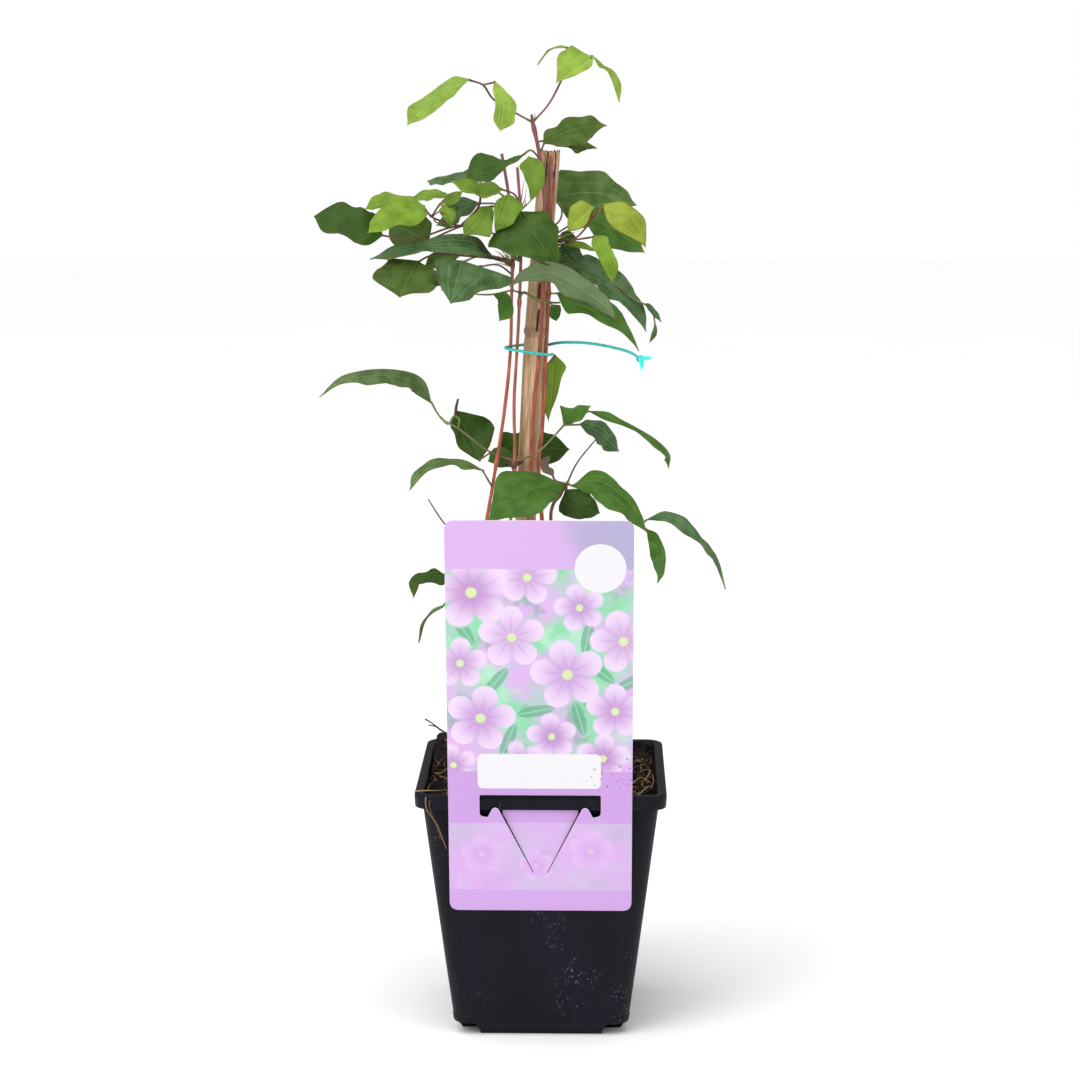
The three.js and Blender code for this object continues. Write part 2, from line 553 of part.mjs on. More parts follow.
const TOP = {
  path: [
    [-5, -13, 105], [-6, -12, 133], [-9, -10, 200], [-8, -9, 260], [-6, -8.5, 298], [-4.4, -8.6, 329],
    [-1.4, -9, 357], [0, -9, 384], [1, -8.6, 410], [1, -8.2, 435], [-1.8, -8, 459], [-5, -8, 474],
  ],
  radius: 1.2,
  tipRadius: 1.0,
  twigs: [],
  leaves: [
    leaf([[-5, -8, 474], [-14, -12, 479], [-25, -17, 486], [-30, -20, 493]],
      [[-36, -21, 496], [-51, -25, 488], [-68, -28, 473]],
      [[2, 5.2, 6, 5.3, 4], [5.7, 5.3, 4.4, 5.6, 7.3]], [-0.1, -0.75, 0.6]),
    leaf([[-30, -20, 493]], [[-24, -23, 495.5], [-19.5, -27, 484], [-21, -28, 470]],
      [[1.8, 3.6, 6.8, 6.1, 6], [2.8, 3.8, 4.1, 4.2, 4]], [0.1, -0.95, 0.25]),
    leaf([[-5, -8, 474], [3, -7, 483], [9, -5, 494], [15, -5, 508]],
      [[26, -8, 507], [17, -14, 500.5], [7, -19, 494]],
      [[3.2, 3.3, 2.7, 1.9, 0.9], [9.7, 11.3, 12.1, 10.3, 4.8]], [0.15, -0.9, 0.45]),
    leaf([[15, -5, 508]], [[13, -2, 512], [4, 2, 511], [-3, 4, 503]],
      [[1.5, 2.2, 2.5, 2.5, 2], [2, 3, 2, 1.5, 1]], [-0.2, -0.1, 1]),
    leaf([[15, -5, 508]], [[25, -1, 508], [34, 5, 499], [39.5, 7, 484]],
      [[0.6, 0.6, 4, 4.4, 3.6], [4.2, 1.8, 0.8, 0.7, 0.5]], [0.5, -0.6, 0.55]),
    leaf([[-2, -8, 457]], [[0, -3, 463], [15, 6, 470], [33, 14, 472]],
      [[6.7, 5, 8, 8.2, 7.2], [5, 9.5, 10.5, 8.5, 4]], [-0.05, -0.65, 0.75]),
    leaf([[-2, -8, 459], [-2.5, -4, 463.5]], [[1, 3, 464.5], [14, 14, 463.5], [28, 22, 460]],
      [[5, 6, 6.5, 5.5, 3], [6, 9.5, 9.5, 7, 3]], [0.05, -0.1, 1]),
    leaf([[-1, -8, 455]], [[-7, -12, 457], [-4.5, -16, 446], [-6, -17, 434]],
      [[5.4, 6.2, 6.1, 5, 3.2], [5.9, 5, 4.4, 2.6, 1.2]], [-0.1, -0.97, 0.2]),
    leaf([[-1, -8, 455], [-6, -11, 460]], [[-9, -12, 458], [-22, -15, 451], [-39, -17, 446]],
      [[1.8, 1.2, 4, 6.7, 4], [2, 3, 9.2, 11.2, 10]], [0.05, -0.75, 0.6]),
  ],
};

const RIGHT = {
  path: [
    [4, 0, 105], [4, -2, 150], [3, -4, 200], [1, -5, 250], [-2, -6.2, 298], [-0.4, -6.4, 314],
    [1.8, -6.4, 357], [3.2, -6.4, 388], [4.2, -7, 435], [4.2, -7.4, 457],
  ],
  radius: 1.2,
  tipRadius: 1.0,
  twigs: [],
  leaves: [
    leaf([[1.6, -6.4, 349], [4.5, -3.5, 351]], [[6.2, 0, 354.5], [5.1, 1.5, 338], [3, 1.5, 318.6]],
      [[6.1, 4.3, 3.5, 2.4, 0.9], [4, 3.9, 3.9, 3.9, 3.2]], [0.15, -0.95, 0.15]),
    leaf([[3, -6, 383], [3, -8, 386]],
      [[7, -9, 387], [25, -13, 382], [40, -14, 371], [47, -12, 362], [50, -10, 357]],
      [[8, 9, 8, 5, 2.5], [13, 14, 9.5, 5, 2]], [0.05, -0.6, 0.8]),
    leaf([[3, -6, 383]], [[5, 2, 380], [6, 4, 376], [7, 5, 371]], oval(8, 0.3), [0.1, -0.95, 0.2]),
    leaf([[3, -6, 403]], [[13, -1, 401.5], [34, 6, 392.5], [47, 10, 378.5], [54, 12, 365]],
      [[9, 8, 8, 5.5, 5], [10, 10, 10, 5.8, 2.7]], [0.2, -0.7, 0.65]),
    leaf([[34, 6, 392.5], [48, 9.4, 382]], [[53, 10, 380], [57, 12, 376], [62, 13, 370]], oval(5, 0.35),
      [0.2, -0.6, 0.75]),
    leaf([[4.2, -6.8, 420], [9, -3, 424], [9.5, 4, 430]], [[4, 12, 435], [26, 20, 437], [49, 30, 430]],
      [[13.8, 13, 12, 10.8, 6.6], [20, 21, 17, 12, 6]], [0.05, -0.85, 0.5]),
    leaf([[4, -6, 415], [14, 2, 421]], [[21, 6, 425], [36, 12, 419], [53, 16, 406]],
      [[7, 8, 8, 7, 4], [10, 12, 12, 9, 5]], [-0.1, -0.8, 0.6]),
    leaf([[4, -6, 414], [15, -10, 414], [24, -12, 423]],
      [[27, -14, 431], [20, -18, 426], [13, -19, 419]],
      [[1, 3, 4.4, 4.3, 2.6], [6.9, 8.4, 8.2, 6.2, 3.4]], [0.1, -0.9, 0.4]),
    leaf([[24, -12, 423]], [[31, -14, 433], [42, -20, 425], [53, -22, 411]],
      [[5, 7.5, 7.6, 7.5, 4.2], [4.7, 6.8, 6.5, 4.6, 1.7]], [-0.1, -0.9, 0.4]),
    leaf([[15, -10, 414]], [[26, -14, 417], [31, -19, 407], [36, -20, 393]],
      [[6, 5, 5.5, 6.1, 4.4], [3, 2.8, 2.4, 1.9, 1.4]], [-0.1, -0.95, 0.3]),
    leaf([[3.6, -6.4, 400]], [[8, -4, 410], [13, -3, 405], [19, -3, 399]], oval(14, 0.45, 0.5),
      [0.1, -0.9, 0.4]),
    leaf([[4, -6, 411]], [[9.5, -5, 411.3], [18, -7, 411.5], [27.6, -8, 408.4]], oval(4.5, 0.5),
      [0, -0.7, 0.7]),
    leaf([[4, -6, 413]], [[9.5, -4, 417.5], [13, -4.5, 415], [16, -5, 411.5]], oval(7, 0.5, 0.5),
      [0.1, -0.9, 0.4]),
    leaf([[54, 11, 379]], [[57.6, 12, 375], [58.5, 11.5, 367], [55.6, 11, 359]],
      [[0.4, 0.4, 1.2, 1.8, 1.2], [0.4, 0.4, 0.8, 1, 0.6]], [0.1, -1, 0.2]),
    // one that reaches back, behind the long ones
    leaf([[3, -5.6, 396], [12, 6, 396]], [[18, 16, 395], [27, 30, 392], [36, 44, 381]], oval(23, 0.4),
      [0.3, 0.2, 0.9]),
  ],
};

const FRONT = {
  path: [
    [14, -14, 105], [14, -16, 140], [13, -20, 200], [8, -23, 250], [5, -24, 276], [13, -26, 290],
  ],
  radius: 1.2,
  tipRadius: 0.9,
  twigs: [[[13, -26, 290], [18, -22, 300], [28, -16, 312]]],
  leaves: [
    leaf([[13, -26, 290]], [[13, -26, 290], [0, -36, 290], [-15, -46, 284], [-27, -52, 274]],
      [[7, 15, 17.5, 17.5, 10], [4, 14.5, 18, 14, 6.7]], [-0.1, -0.6, 0.8]),
    leaf([[13, -26, 290]], [[15, -27, 289], [30, -33, 292], [44, -38, 283], [54, -40, 267]],
      [[7.5, 6.5, 4, 3.8, 3], [8, 15, 17, 13, 7]], [0.2, -0.5, 0.85]),
    leaf([[13, -26, 290]], [[12, -26, 287], [18, -30, 281], [30, -36, 276]],
      [[4.5, 7.5, 9.3, 9, 7.5], [8, 10.5, 9, 6.5, 4]], [0.1, -0.8, -0.4]),
    leaf([[13, -26, 290], [35, -22, 280], [51, -26, 269]],
      [[54, -28, 267], [62, -31, 256], [60, -32, 239]],
      [[3.8, 2.6, 2, 2.8, 3.4], [6, 11, 11.3, 9.5, 2.5]], [0.6, -0.45, 0.3]),
    leaf([[35, -22, 280], [51, -26, 269]],
      [[53, -26, 271], [65, -26, 273], [81, -22, 261], [91, -14, 246], [96, -10, 232]],
      [[4, 4.5, 4.5, 4, 2.6], [5.5, 6.5, 5.5, 4.5, 2.6]], [0.3, -0.45, 0.8]),
    leaf([[13, -26, 290], [7, -22, 291]], [[6, -20, 293], [1, -16, 298], [4, -14, 303]], oval(7, 0.4),
      [0.6, -0.6, 0.2]),
  ],
};

const STEMS = { stem_outer: OUTER, stem_inner: INNER, stem_top: TOP, stem_right: RIGHT, stem_front: FRONT };

// A plain round hole in the soil round a stem's lower end.
function stemHole({ path, radius }) {
  const [x, y, z] = path[0];
  const mouth = path[1];
  const above = path[2];
  const holeRadius = radius + FIT + HOLE_ROOM;
  return bar([[x, y, z - FIT], mouth, above], holeRadius, holeRadius, 8, 6);
}

function caneHole() {
  const foot = CANE_PATH[0];
  const path = [[foot[0], foot[1], foot[2] - FIT], ...CANE_PATH.slice(1)];
  const radius = CANE_RADIUS + FIT + HOLE_ROOM;
  return bar(path, radius, radius - CANE_TAPER, CANE_SIDES, CANE_SIDES);
}

// ---- the whole part ----

const part = new THREE.Group();

function addPiece(name, solid, color, roughness) {
  const material = new THREE.MeshStandardMaterial({ color, roughness, metalness: 0 });
  const mesh = new THREE.Mesh(toGeometry(solid), material);
  mesh.name = name;
  part.add(mesh);
}

addPiece('pot', makePot(), '#22222e', 0.5);
addPiece('soil', makeSoil([caneHole(), ...Object.values(STEMS).map(stemHole)]), '#2a1f18', 1);
addPiece('cane', makeCane(), '#b08a5c', 0.7);
for (const [name, stem] of Object.entries(STEMS)) {
  addPiece(name, makeLeafyStem(stem), '#3c6b2a', 0.6);
}
addPiece('label', makeLabel(), '#dda9ee', 0.35);
addPiece('tie_loop', bar(LOOP_PATH, TWINE_RADIUS, TWINE_RADIUS, 8, 20), '#22b6b0', 0.6);
addPiece('tie_tail', bar(TAIL_PATH, TWINE_RADIUS, TWINE_RADIUS, 8, 16), '#22b6b0', 0.6);
addPiece('tie_knot', makeKnot(), '#22b6b0', 0.6);

export default part;
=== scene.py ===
# A young climbing clematis in a square nursery pot: the pot, its soil, a bamboo cane, five leafy
# stems, the twine that ties four of them to the cane, and a hang label on the rim.
# Lists of sizes are in millimetres, and MM brings them to the scene's metres.

import bisect
import math
import random

import bmesh
import bpy
from mathutils import Matrix, Vector, noise


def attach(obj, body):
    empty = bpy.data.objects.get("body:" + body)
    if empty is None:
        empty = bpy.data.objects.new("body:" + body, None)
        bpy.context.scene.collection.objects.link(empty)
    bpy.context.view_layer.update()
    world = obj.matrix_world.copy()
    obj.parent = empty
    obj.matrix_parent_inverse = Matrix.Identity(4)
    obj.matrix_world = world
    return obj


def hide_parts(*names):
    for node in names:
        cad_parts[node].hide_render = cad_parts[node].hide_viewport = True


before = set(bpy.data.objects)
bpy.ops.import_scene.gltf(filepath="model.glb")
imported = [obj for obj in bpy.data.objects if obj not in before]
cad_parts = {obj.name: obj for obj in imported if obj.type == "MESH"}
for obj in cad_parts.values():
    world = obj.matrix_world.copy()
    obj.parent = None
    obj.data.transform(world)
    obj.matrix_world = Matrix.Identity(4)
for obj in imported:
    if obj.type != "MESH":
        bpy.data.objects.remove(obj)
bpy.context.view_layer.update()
MM = 0.001

# ---- The camera ----
# It stands level with the plant's top and looks slightly down, as at a plant on a table.

TARGET = Vector((-1.43, 0.0, 256.2)) * MM
DISTANCE = 1.5378
ELEVATION = math.radians(9.33)
TURN = math.radians(1.16)
LENS = 97.41

sight = Vector((-math.sin(TURN) * math.cos(ELEVATION), math.cos(TURN) * math.cos(ELEVATION),
                -math.sin(ELEVATION)))
camera = bpy.data.objects.new("camera", bpy.data.cameras.new("camera"))
camera.data.lens = LENS
camera.location = TARGET - sight * DISTANCE
camera.rotation_euler = sight.to_track_quat("-Z", "Y").to_euler()
bpy.context.collection.objects.link(camera)
bpy.context.scene.camera = camera

# ---- The twine ----
# A soft turquoise plastic tie, wound once round the stems and the cane. Its loose tail runs out
# to the right and ends in a small frayed knot, hooked on the tip of a leaf.

TWINE_RADIUS = 0.75 * MM
LOOP_ROUTE = [
    (4.9, -2.5, 354.6), (5.0, -6.5, 354.7), (2.6, -10.9, 355), (-4, -12.2, 356), (-12, -12, 357.2),
    (-17.6, -10.6, 358), (-19.2, -7.6, 358.4), (-16.6, -3.6, 358.6), (-12.4, 3.2, 358.6),
    (-8, 6.4, 358.6), (-2.4, 6.6, 358.6), (2.2, 4.6, 358.6),
]
TAIL_ROUTE = [
    (3.1, 4.0, 358.8), (5.6, 2.3, 359.6), (9.6, 0.6, 360.3), (14, -0.4, 360.5), (19, -1.2, 360.5),
    (24, -2, 360.2), (29, -3, 359.6), (34, -4.2, 358.8), (39, -5.6, 357.8), (43, -6.8, 356.8),
    (46.4, -8, 355.6), (48.4, -8.8, 354.4),
]
KNOT_CENTRE = Vector((50.6, -9.6, 352.9)) * MM
TWIST_PITCH = 0.9
COURSE_STEPS = 24


def course(route, shares):
    """Points and directions on a smooth curve through a route, at shares of its length."""
    knots = [Vector(place) * MM for place in route]
    knots = [2 * knots[0] - knots[1], *knots, 2 * knots[-1] - knots[-2]]
    fine = [knots[1]]
    for before, start, end, after in zip(knots, knots[1:], knots[2:], knots[3:]):
        spans = ((before, start), (start, end), (end, after))
        near, own, far = [math.sqrt((b - a).length) for a, b in spans]
        leave = (start - before) / near - (end - before) / (near + own) + (end - start) / own
        reach = (end - start) / own - (after - start) / (own + far) + (after - end) / far
        for part in range(1, COURSE_STEPS + 1):
            t = part / COURSE_STEPS
            fine.append(start * (2 * t**3 - 3 * t**2 + 1) + leave * own * (t**3 - 2 * t**2 + t)
                        + end * (3 * t**2 - 2 * t**3) + reach * own * (t**3 - t**2))
    pairs = zip([fine[0], *fine], [*fine[1:], fine[-1]])
    ways = [(after - before).normalized() for before, after in pairs]
    lengths = [0.0]
    for here, there in zip(fine, fine[1:]):
        lengths.append(lengths[-1] + (there - here).length)
    result = []
    for share in shares:
        wanted = lengths[-1] * share
        part = min(bisect.bisect_right(lengths, wanted), len(fine) - 1) - 1
        rest = (wanted - lengths[part]) / (lengths[part + 1] - lengths[part])
        way = ways[part].lerp(ways[part + 1], rest)
        result.append((fine[part].lerp(fine[part + 1], rest), way.normalized()))
    return result


def route_length(route):
    return sum((Vector(here) - Vector(there)).length for here, there in zip(route, route[1:]))


def even(steps):
    """Shares of a length, from 0 to 1 in even steps."""
    return [step / steps for step in range(steps + 1)]


def new_shape():
    """A bmesh that also carries, for its material, each point's place on its strand and its tone."""
    shape = bmesh.new()
    shape.verts.layers.float_vector.new("strand")
    shape.verts.layers.float_color.new("tone")
    return shape


def loft(shape, levels, around, place):
    """Add a closed skin: a grid rolled up into rings, with both its ends filled."""
    grid = bmesh.ops.create_grid(shape, x_segments=levels - 1, y_segments=around, size=0.5)["verts"]
    for vertex in grid:
        level = round((vertex.co.x + 0.5) * (levels - 1))
        place(vertex, level, round((vertex.co.y + 0.5) * around) % around)
    bmesh.ops.remove_doubles(shape, verts=grid, dist=1e-7)
    left = [vertex for vertex in grid if vertex.is_valid]
    edges = {edge for vertex in left for edge in vertex.link_edges}
    bmesh.ops.holes_fill(shape, edges=[edge for edge in edges if edge.is_boundary])
    return {face for vertex in left for face in vertex.link_faces}


def bar(shape, route, steps, sides, radius, tone=lambda along: (1, 1, 1), material=0):
    """Add a round bar along a route. Its radius depends on the share of its length and the turn."""
    strand = shape.verts.layers.float_vector["strand"]
    colour = shape.verts.layers.float_color["tone"]
    line = course(route, even(steps))
    aside = line[0][1].orthogonal().normalized()
    sections = []
    run = 0.0
    for step, (centre, way) in enumerate(line):
        if step:
            aside = line[step - 1][1].rotation_difference(way) @ aside
            run += (centre - line[step - 1][0]).length
        sections.append((centre, aside.copy(), way.cross(aside), run))

    def place(vertex, level, index):
        centre, first, second, reached = sections[level]
        turn = 2 * math.pi * index / sides
        vertex.co = centre + (first * math.cos(turn) + second * math.sin(turn)) * radius(level / steps, turn)
        vertex[strand] = (math.cos(turn), math.sin(turn), reached)
        vertex[colour] = (*tone(level / steps), 1)

    for face in loft(shape, steps + 1, sides, place):
        face.material_index = material


def finished(name, shape, materials, node, corner=40):
    """Make the piece from its bmesh, at the origin, hang it on the root body and hide the part it stands for.
    """
    bmesh.ops.recalc_face_normals(shape, faces=shape.faces)
    mesh = bpy.data.meshes.new(name)
    shape.to_mesh(mesh)
    shape.free()
    mesh.polygons.foreach_set("use_smooth", [True] * len(mesh.polygons))
    mesh.set_sharp_from_angle(angle=math.radians(corner))
    for paint in materials:
        mesh.materials.append(paint.material)
    piece = bpy.data.objects.new(name, mesh)
    bpy.context.collection.objects.link(piece)
    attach(piece, "root")
    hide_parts(node)
    return piece


def tint(code, weight=1.0):
    """A screen colour such as 3c6b2a as light, so that nodes and attributes can mix it."""
    parts = [int(code[i:i + 2], 16) / 255 for i in (0, 2, 4)]
    return tuple(weight * (c / 12.92 if c <= 0.04045 else ((c + 0.055) / 1.055) ** 2.4) for c in parts)


class Value:
    """A socket in a material. Sums written on it become nodes."""

    def __init__(self, paint, socket):
        self.paint, self.socket = paint, socket

    def sum(self, operation, first, second=0.0):
        return self.paint.node("Math", {"operation": operation}, {0: first, 1: second})

    def __add__(self, other):
        return self.sum("ADD", self, other)

    def __sub__(self, other):
        return self.sum("SUBTRACT", self, other)

    def __rsub__(self, other):
        return self.sum("SUBTRACT", other, self)

    def __mul__(self, other):
        return self.sum("MULTIPLY", self, other)

    def __truediv__(self, other):
        return self.sum("DIVIDE", self, other)

    def __pow__(self, other):
        return self.sum("POWER", self, other)

    def __abs__(self):
        return self.sum("ABSOLUTE", self)

    def wave(self):
        return self.sum("SINE", self)

    def most(self, other):
        return self.sum("MAXIMUM", self, other)

    def ease(self, low, high):
        """0 below low and 1 above high, smoothly; or the other way round if low is the larger."""
        span = {0: self, 1: low, 2: high, 3: 0.0, 4: 1.0}
        if low > high:
            span = {0: self, 1: high, 2: low, 3: 1.0, 4: 0.0}
        return self.paint.node("MapRange", {"interpolation_type": "SMOOTHSTEP"}, span)


class Paint:
    """A material, made by adding nodes one after another."""

    def __init__(self, name):
        self.material = bpy.data.materials.new(name)
        self.material.use_nodes = True
        self.tree = self.material.node_tree
        self.tree.nodes.clear()

    def node(self, kind, settings=None, sockets=None, output=0):
        node = self.tree.nodes.new("ShaderNode" + kind)
        for name, setting in (settings or {}).items():
            setattr(node, name, setting)
        for name, value in (sockets or {}).items():
            if isinstance(value, Value):
                self.tree.links.new(value.socket, node.inputs[name])
            elif isinstance(value, tuple) and len(value) == 3 and node.inputs[name].type == "RGBA":
                node.inputs[name].default_value = (*value, 1)
            else:
                node.inputs[name].default_value = value
        return Value(self, node.outputs[output])

    def place(self, scale=(1, 1, 1), turn=(0, 0, 0), shift=(0, 0, 0)):
        """The point on the piece in metres, stretched, turned or shifted."""
        point = self.node("TexCoord", output="Object")
        return self.node("Mapping", {}, {0: point, "Scale": scale, "Rotation": turn, "Location": shift})

    def carried(self, name, output="Vector"):
        return self.node("Attribute", {"attribute_name": name}, {}, output)

    def parts(self, vector):
        split = self.node("SeparateXYZ", {}, {0: vector})
        return [Value(self, socket) for socket in split.socket.node.outputs]

    def vector(self, x, y, z=0.0):
        return self.node("CombineXYZ", {}, {0: x, 1: y, 2: z})

    def noise(self, where, scale, detail=3.0, roughness=0.55):
        return self.node("TexNoise", {}, {"Vector": where, "Scale": scale, "Detail": detail,
                                          "Roughness": roughness})

    def mix(self, share, first, second, kind="MIX"):
        settings = {"data_type": "RGBA", "blend_type": kind, "clamp_factor": True}
        return self.node("Mix", settings, {0: share, 6: first, 7: second}, 2)

    def bump(self, height, depth, strength=1.0):
        return self.node("Bump", {}, {"Height": height, "Distance": depth, "Strength": strength})

    def surface(self, colour, roughness, normal=None, steady=None):
        sockets = {"Base Color": colour, "Roughness": roughness, **(steady or {})}
        if normal is not None:
            sockets["Normal"] = normal
        shader = self.node("BsdfPrincipled", {}, sockets)
        output = self.tree.nodes.new("ShaderNodeOutputMaterial")
        self.tree.links.new(shader.socket, output.inputs["Surface"])
        return self


def twine_paint():
    paint = Paint("turquoise_plastic")
    around, across, along = paint.parts(paint.carried("strand"))
    where = paint.vector(around, across, along * 400)
    mottle = paint.noise(where, 1.6)
    colour = paint.mix(mottle.ease(0.3, 0.7), tint("149c9c"), tint("2fccc4"))
    colour = paint.mix(1.0, colour, paint.carried("tone", "Color"), "MULTIPLY")
    rib = (along * (2 * math.pi / (TWIST_PITCH * MM))).wave()
    return paint.surface(colour, mottle.ease(0.2, 0.8) * 0.2 + 0.3, paint.bump(rib, 0.05 * MM, 0.4))


def painted_shadow_start(along):
    """Painted shadow: the tail is darker where it comes out from behind the cane, as if in the cane's shade.
    """
    shade = 0.35 + 0.65 * min(1.0, along / 0.3)
    return (shade, shade, shade)


turquoise = twine_paint()
shape = new_shape()
bar(shape, LOOP_ROUTE, 120, 14, lambda along, turn: TWINE_RADIUS)
finished("twine_loop", shape, [turquoise], "tie_loop")

shape = new_shape()
# The tail's tone is darkened at its start: painted shadow.
bar(shape, TAIL_ROUTE, 110, 14, lambda along, turn: TWINE_RADIUS, painted_shadow_start)
tail = finished("twine_tail", shape, [turquoise], "tie_tail")

# The knot is a turn of the twine with its cut end teased out into fine fibres.
FRAY_COUNT = 90
FRAY_WAYS = [(6.2, -0.4, 0.6), (1.6, -0.6, -6.4)]
KNOT_HALF_WIDTH, KNOT_HALF_DEPTH, KNOT_HALF_HEIGHT = 1.5, 0.5, 1.3
KNOT_START, KNOT_STEP, KNOT_POINTS = 2.2, 0.62, 11
KNOT_TWINE = 0.62 * MM
shape = new_shape()
knot_turn = []
for number in range(KNOT_POINTS):
    turn = KNOT_START - number * KNOT_STEP
    offset = Vector((KNOT_HALF_WIDTH * math.cos(turn), KNOT_HALF_DEPTH * math.sin(2 * turn),
                     KNOT_HALF_HEIGHT * math.sin(turn)))
    knot_turn.append((KNOT_CENTRE / MM + offset)[:])
bar(shape, [TAIL_ROUTE[-1], *knot_turn], 70, 12, lambda along, turn: KNOT_TWINE)
chance = random.Random(4)


def astray(reach):
    """A chance offset to any side."""
    return Vector([chance.uniform(-reach, reach) for _ in range(3)])


for number in range(FRAY_COUNT):
    way = Vector(FRAY_WAYS[number % 2])
    start = KNOT_CENTRE / MM + astray(0.8)
    spread = astray(1.2)
    reach = chance.uniform(0.45, 1.0)
    light = chance.uniform(1.2, 3.0)
    end = start + way * reach + spread * reach
    middle = start + way * reach * 0.5 + spread * 0.15
    bar(shape, [start[:], middle[:], end[:]], 5, 4, lambda along, turn: (0.17 - 0.1 * along) * MM,
        lambda along: (light * 1.3, light, light))
knot = finished("twine_knot", shape, [turquoise], "tie_knot")

tail_path = [place for place, way in course(TAIL_ROUTE, even(60))]

# ---- The pot ----
# A square nursery pot, thermoformed in thin black plastic. The rim is turned down all round, and
# the base stands on a cross, with its four corners raised and pierced to drain.

RIM_TOP, RIM_HALF, RIM_DEPTH = 134, 65, 7.3
SHOULDER_HALF, BASE_HALF, BASE_RISE = 60.9, 46.2, 6.3
SKIRT_WALL = WALL = 1.5
FOOT_HALF, FOOT_TAPER = 34.3, 0.92
DRAIN_RADIUS, DRAIN_PLACE, DRAIN_DEPTH = 5, 38.9, 12
CORNER_STEPS, CORNER_MARGIN = 8, 1.5


def wall_half(height):
    """Half the width of the tapered wall, outside, at a height."""
    slope = (SHOULDER_HALF - BASE_HALF) / (RIM_TOP - RIM_DEPTH - BASE_RISE)
    return BASE_HALF + slope * (height - BASE_RISE)


def square_point(half, corner, index):
    """A point on a square with round corners: each corner is an arc between two points beside it."""
    side = CORNER_STEPS + 3
    quarter, step = divmod(index, side)
    inner = half - corner
    angle = min(max(step - 1, 0), CORNER_STEPS) / CORNER_STEPS * math.pi / 2
    point = Vector((inner + corner * math.cos(angle), inner + corner * math.sin(angle)))
    if step == 0:
        point.y -= CORNER_MARGIN
    if step == side - 1:
        point.x -= CORNER_MARGIN
    point.rotate(Matrix.Rotation(quarter * math.pi / 2, 2))
    return point


skirt_low = RIM_TOP - RIM_DEPTH
POT_RINGS = [
    # half width, corner radius, height
    (wall_half(6.3) - 0.8, 8.2, 6.3), (wall_half(6.5) - 0.2, 8.8, 6.5), (wall_half(7.1), 9, 7.1),
    (wall_half(10), 9, 10), (wall_half(10.4) - 0.25, 9, 10.4), (wall_half(40) - 0.1, 9, 40),
    (wall_half(80), 9, 80), (wall_half(110), 9, 110), (wall_half(skirt_low - 2), 9, skirt_low - 2),
    (SHOULDER_HALF, 9, RIM_TOP - 3), (SHOULDER_HALF + 0.6, 9, RIM_TOP - SKIRT_WALL - 0.2),
    (RIM_HALF - SKIRT_WALL - 0.5, 8, RIM_TOP - SKIRT_WALL - 0.2), (RIM_HALF - SKIRT_WALL, 7.5, RIM_TOP - 3),
    (RIM_HALF - SKIRT_WALL - 0.2, 7.5, skirt_low), (RIM_HALF - 0.6, 8.6, skirt_low),
    (RIM_HALF - 0.35, 9, skirt_low + 0.4), (RIM_HALF - 0.1, 9, RIM_TOP - 2.5),
    (RIM_HALF - 0.1, 9, RIM_TOP - 1),
    (RIM_HALF - 0.4, 8.7, RIM_TOP - 0.35), (RIM_HALF - 1.1, 8, RIM_TOP), (RIM_HALF - 3.6, 6, RIM_TOP),
    (RIM_HALF - 4.6, 5.6, RIM_TOP - 0.4), (wall_half(RIM_TOP - 2) - WALL, 7.5, RIM_TOP - 1.6),
    (wall_half(110) - WALL, 7.5, 110), (wall_half(BASE_RISE) - WALL, 7.5, BASE_RISE + WALL),
]


def black_plastic_paint():
    paint = Paint("black_plastic")
    where = paint.place()
    streaks = paint.noise(paint.place(scale=(1, 1, 0.12)), 60, 4)
    cloud = paint.noise(where, 26, 5, 0.65)
    fine = paint.noise(where, 420, 3, 0.7)
    colour = paint.mix(streaks.ease(0.35, 0.75), tint("0c0b15"), tint("12111c"))
    dust = cloud.ease(0.5, 0.78) * fine.ease(0.42, 0.68)
    colour = paint.mix(dust * 0.16, colour, tint("4a4b5a"))
    specks = paint.node("TexVoronoi", {"feature": "F1"}, {"Vector": where, "Scale": 520})
    flecks = specks.ease(0.3, 0.12) * cloud.ease(0.55, 0.68)
    colour = paint.mix(flecks * 0.5, colour, tint("8c8c9a"))
    scratch = paint.noise(paint.place(scale=(14, 14, 1), turn=(0.2, 0.5, 0.1)), 70, 2)
    colour = paint.mix(scratch.ease(0.7, 0.76) * 0.3, colour, tint("5a5b6c"))
    roughness = dust * 0.25 + streaks * 0.12 + 0.42
    height = fine * 0.5 + cloud * 0.8 + streaks * 0.6
    return paint.surface(colour, roughness, paint.bump(height, 0.12 * MM, 0.6), {"Specular IOR Level": 0.12})


def press_cross(shape, height, half, low, taper):
    """Press two crossed bars out of a flat floor, down to a lower level."""
    def floor_faces():
        return [face for face in shape.faces if abs(face.calc_center_median().z - height * MM) < 0.02 * MM
                and abs(face.normal.z) > 0.9]

    def parts(faces):
        edges = {edge for face in faces for edge in face.edges}
        return [*faces, *edges, *{vertex for face in faces for vertex in face.verts}]

    shape.normal_update()
    for side in (Vector((1, 0, 0)), Vector((0, 1, 0))):
        for place in (-half, half):
            bmesh.ops.bisect_plane(shape, geom=parts(floor_faces()), dist=1e-6, plane_co=side * place * MM,
                                   plane_no=side)
    cross = [face for face in floor_faces()
             if min(abs(face.calc_center_median().x), abs(face.calc_center_median().y)) < half * MM]
    pressed = bmesh.ops.extrude_face_region(shape, geom=cross)["geom"]
    bmesh.ops.delete(shape, geom=cross, context="FACES")
    for vertex in [part for part in pressed if isinstance(part, bmesh.types.BMVert)]:
        vertex.co = Vector((vertex.co.x * taper, vertex.co.y * taper, low * MM))


def place_on_ring(vertex, level, index):
    half, corner, height = POT_RINGS[level]
    vertex.co = Vector((*square_point(half, corner, index), height)) * MM


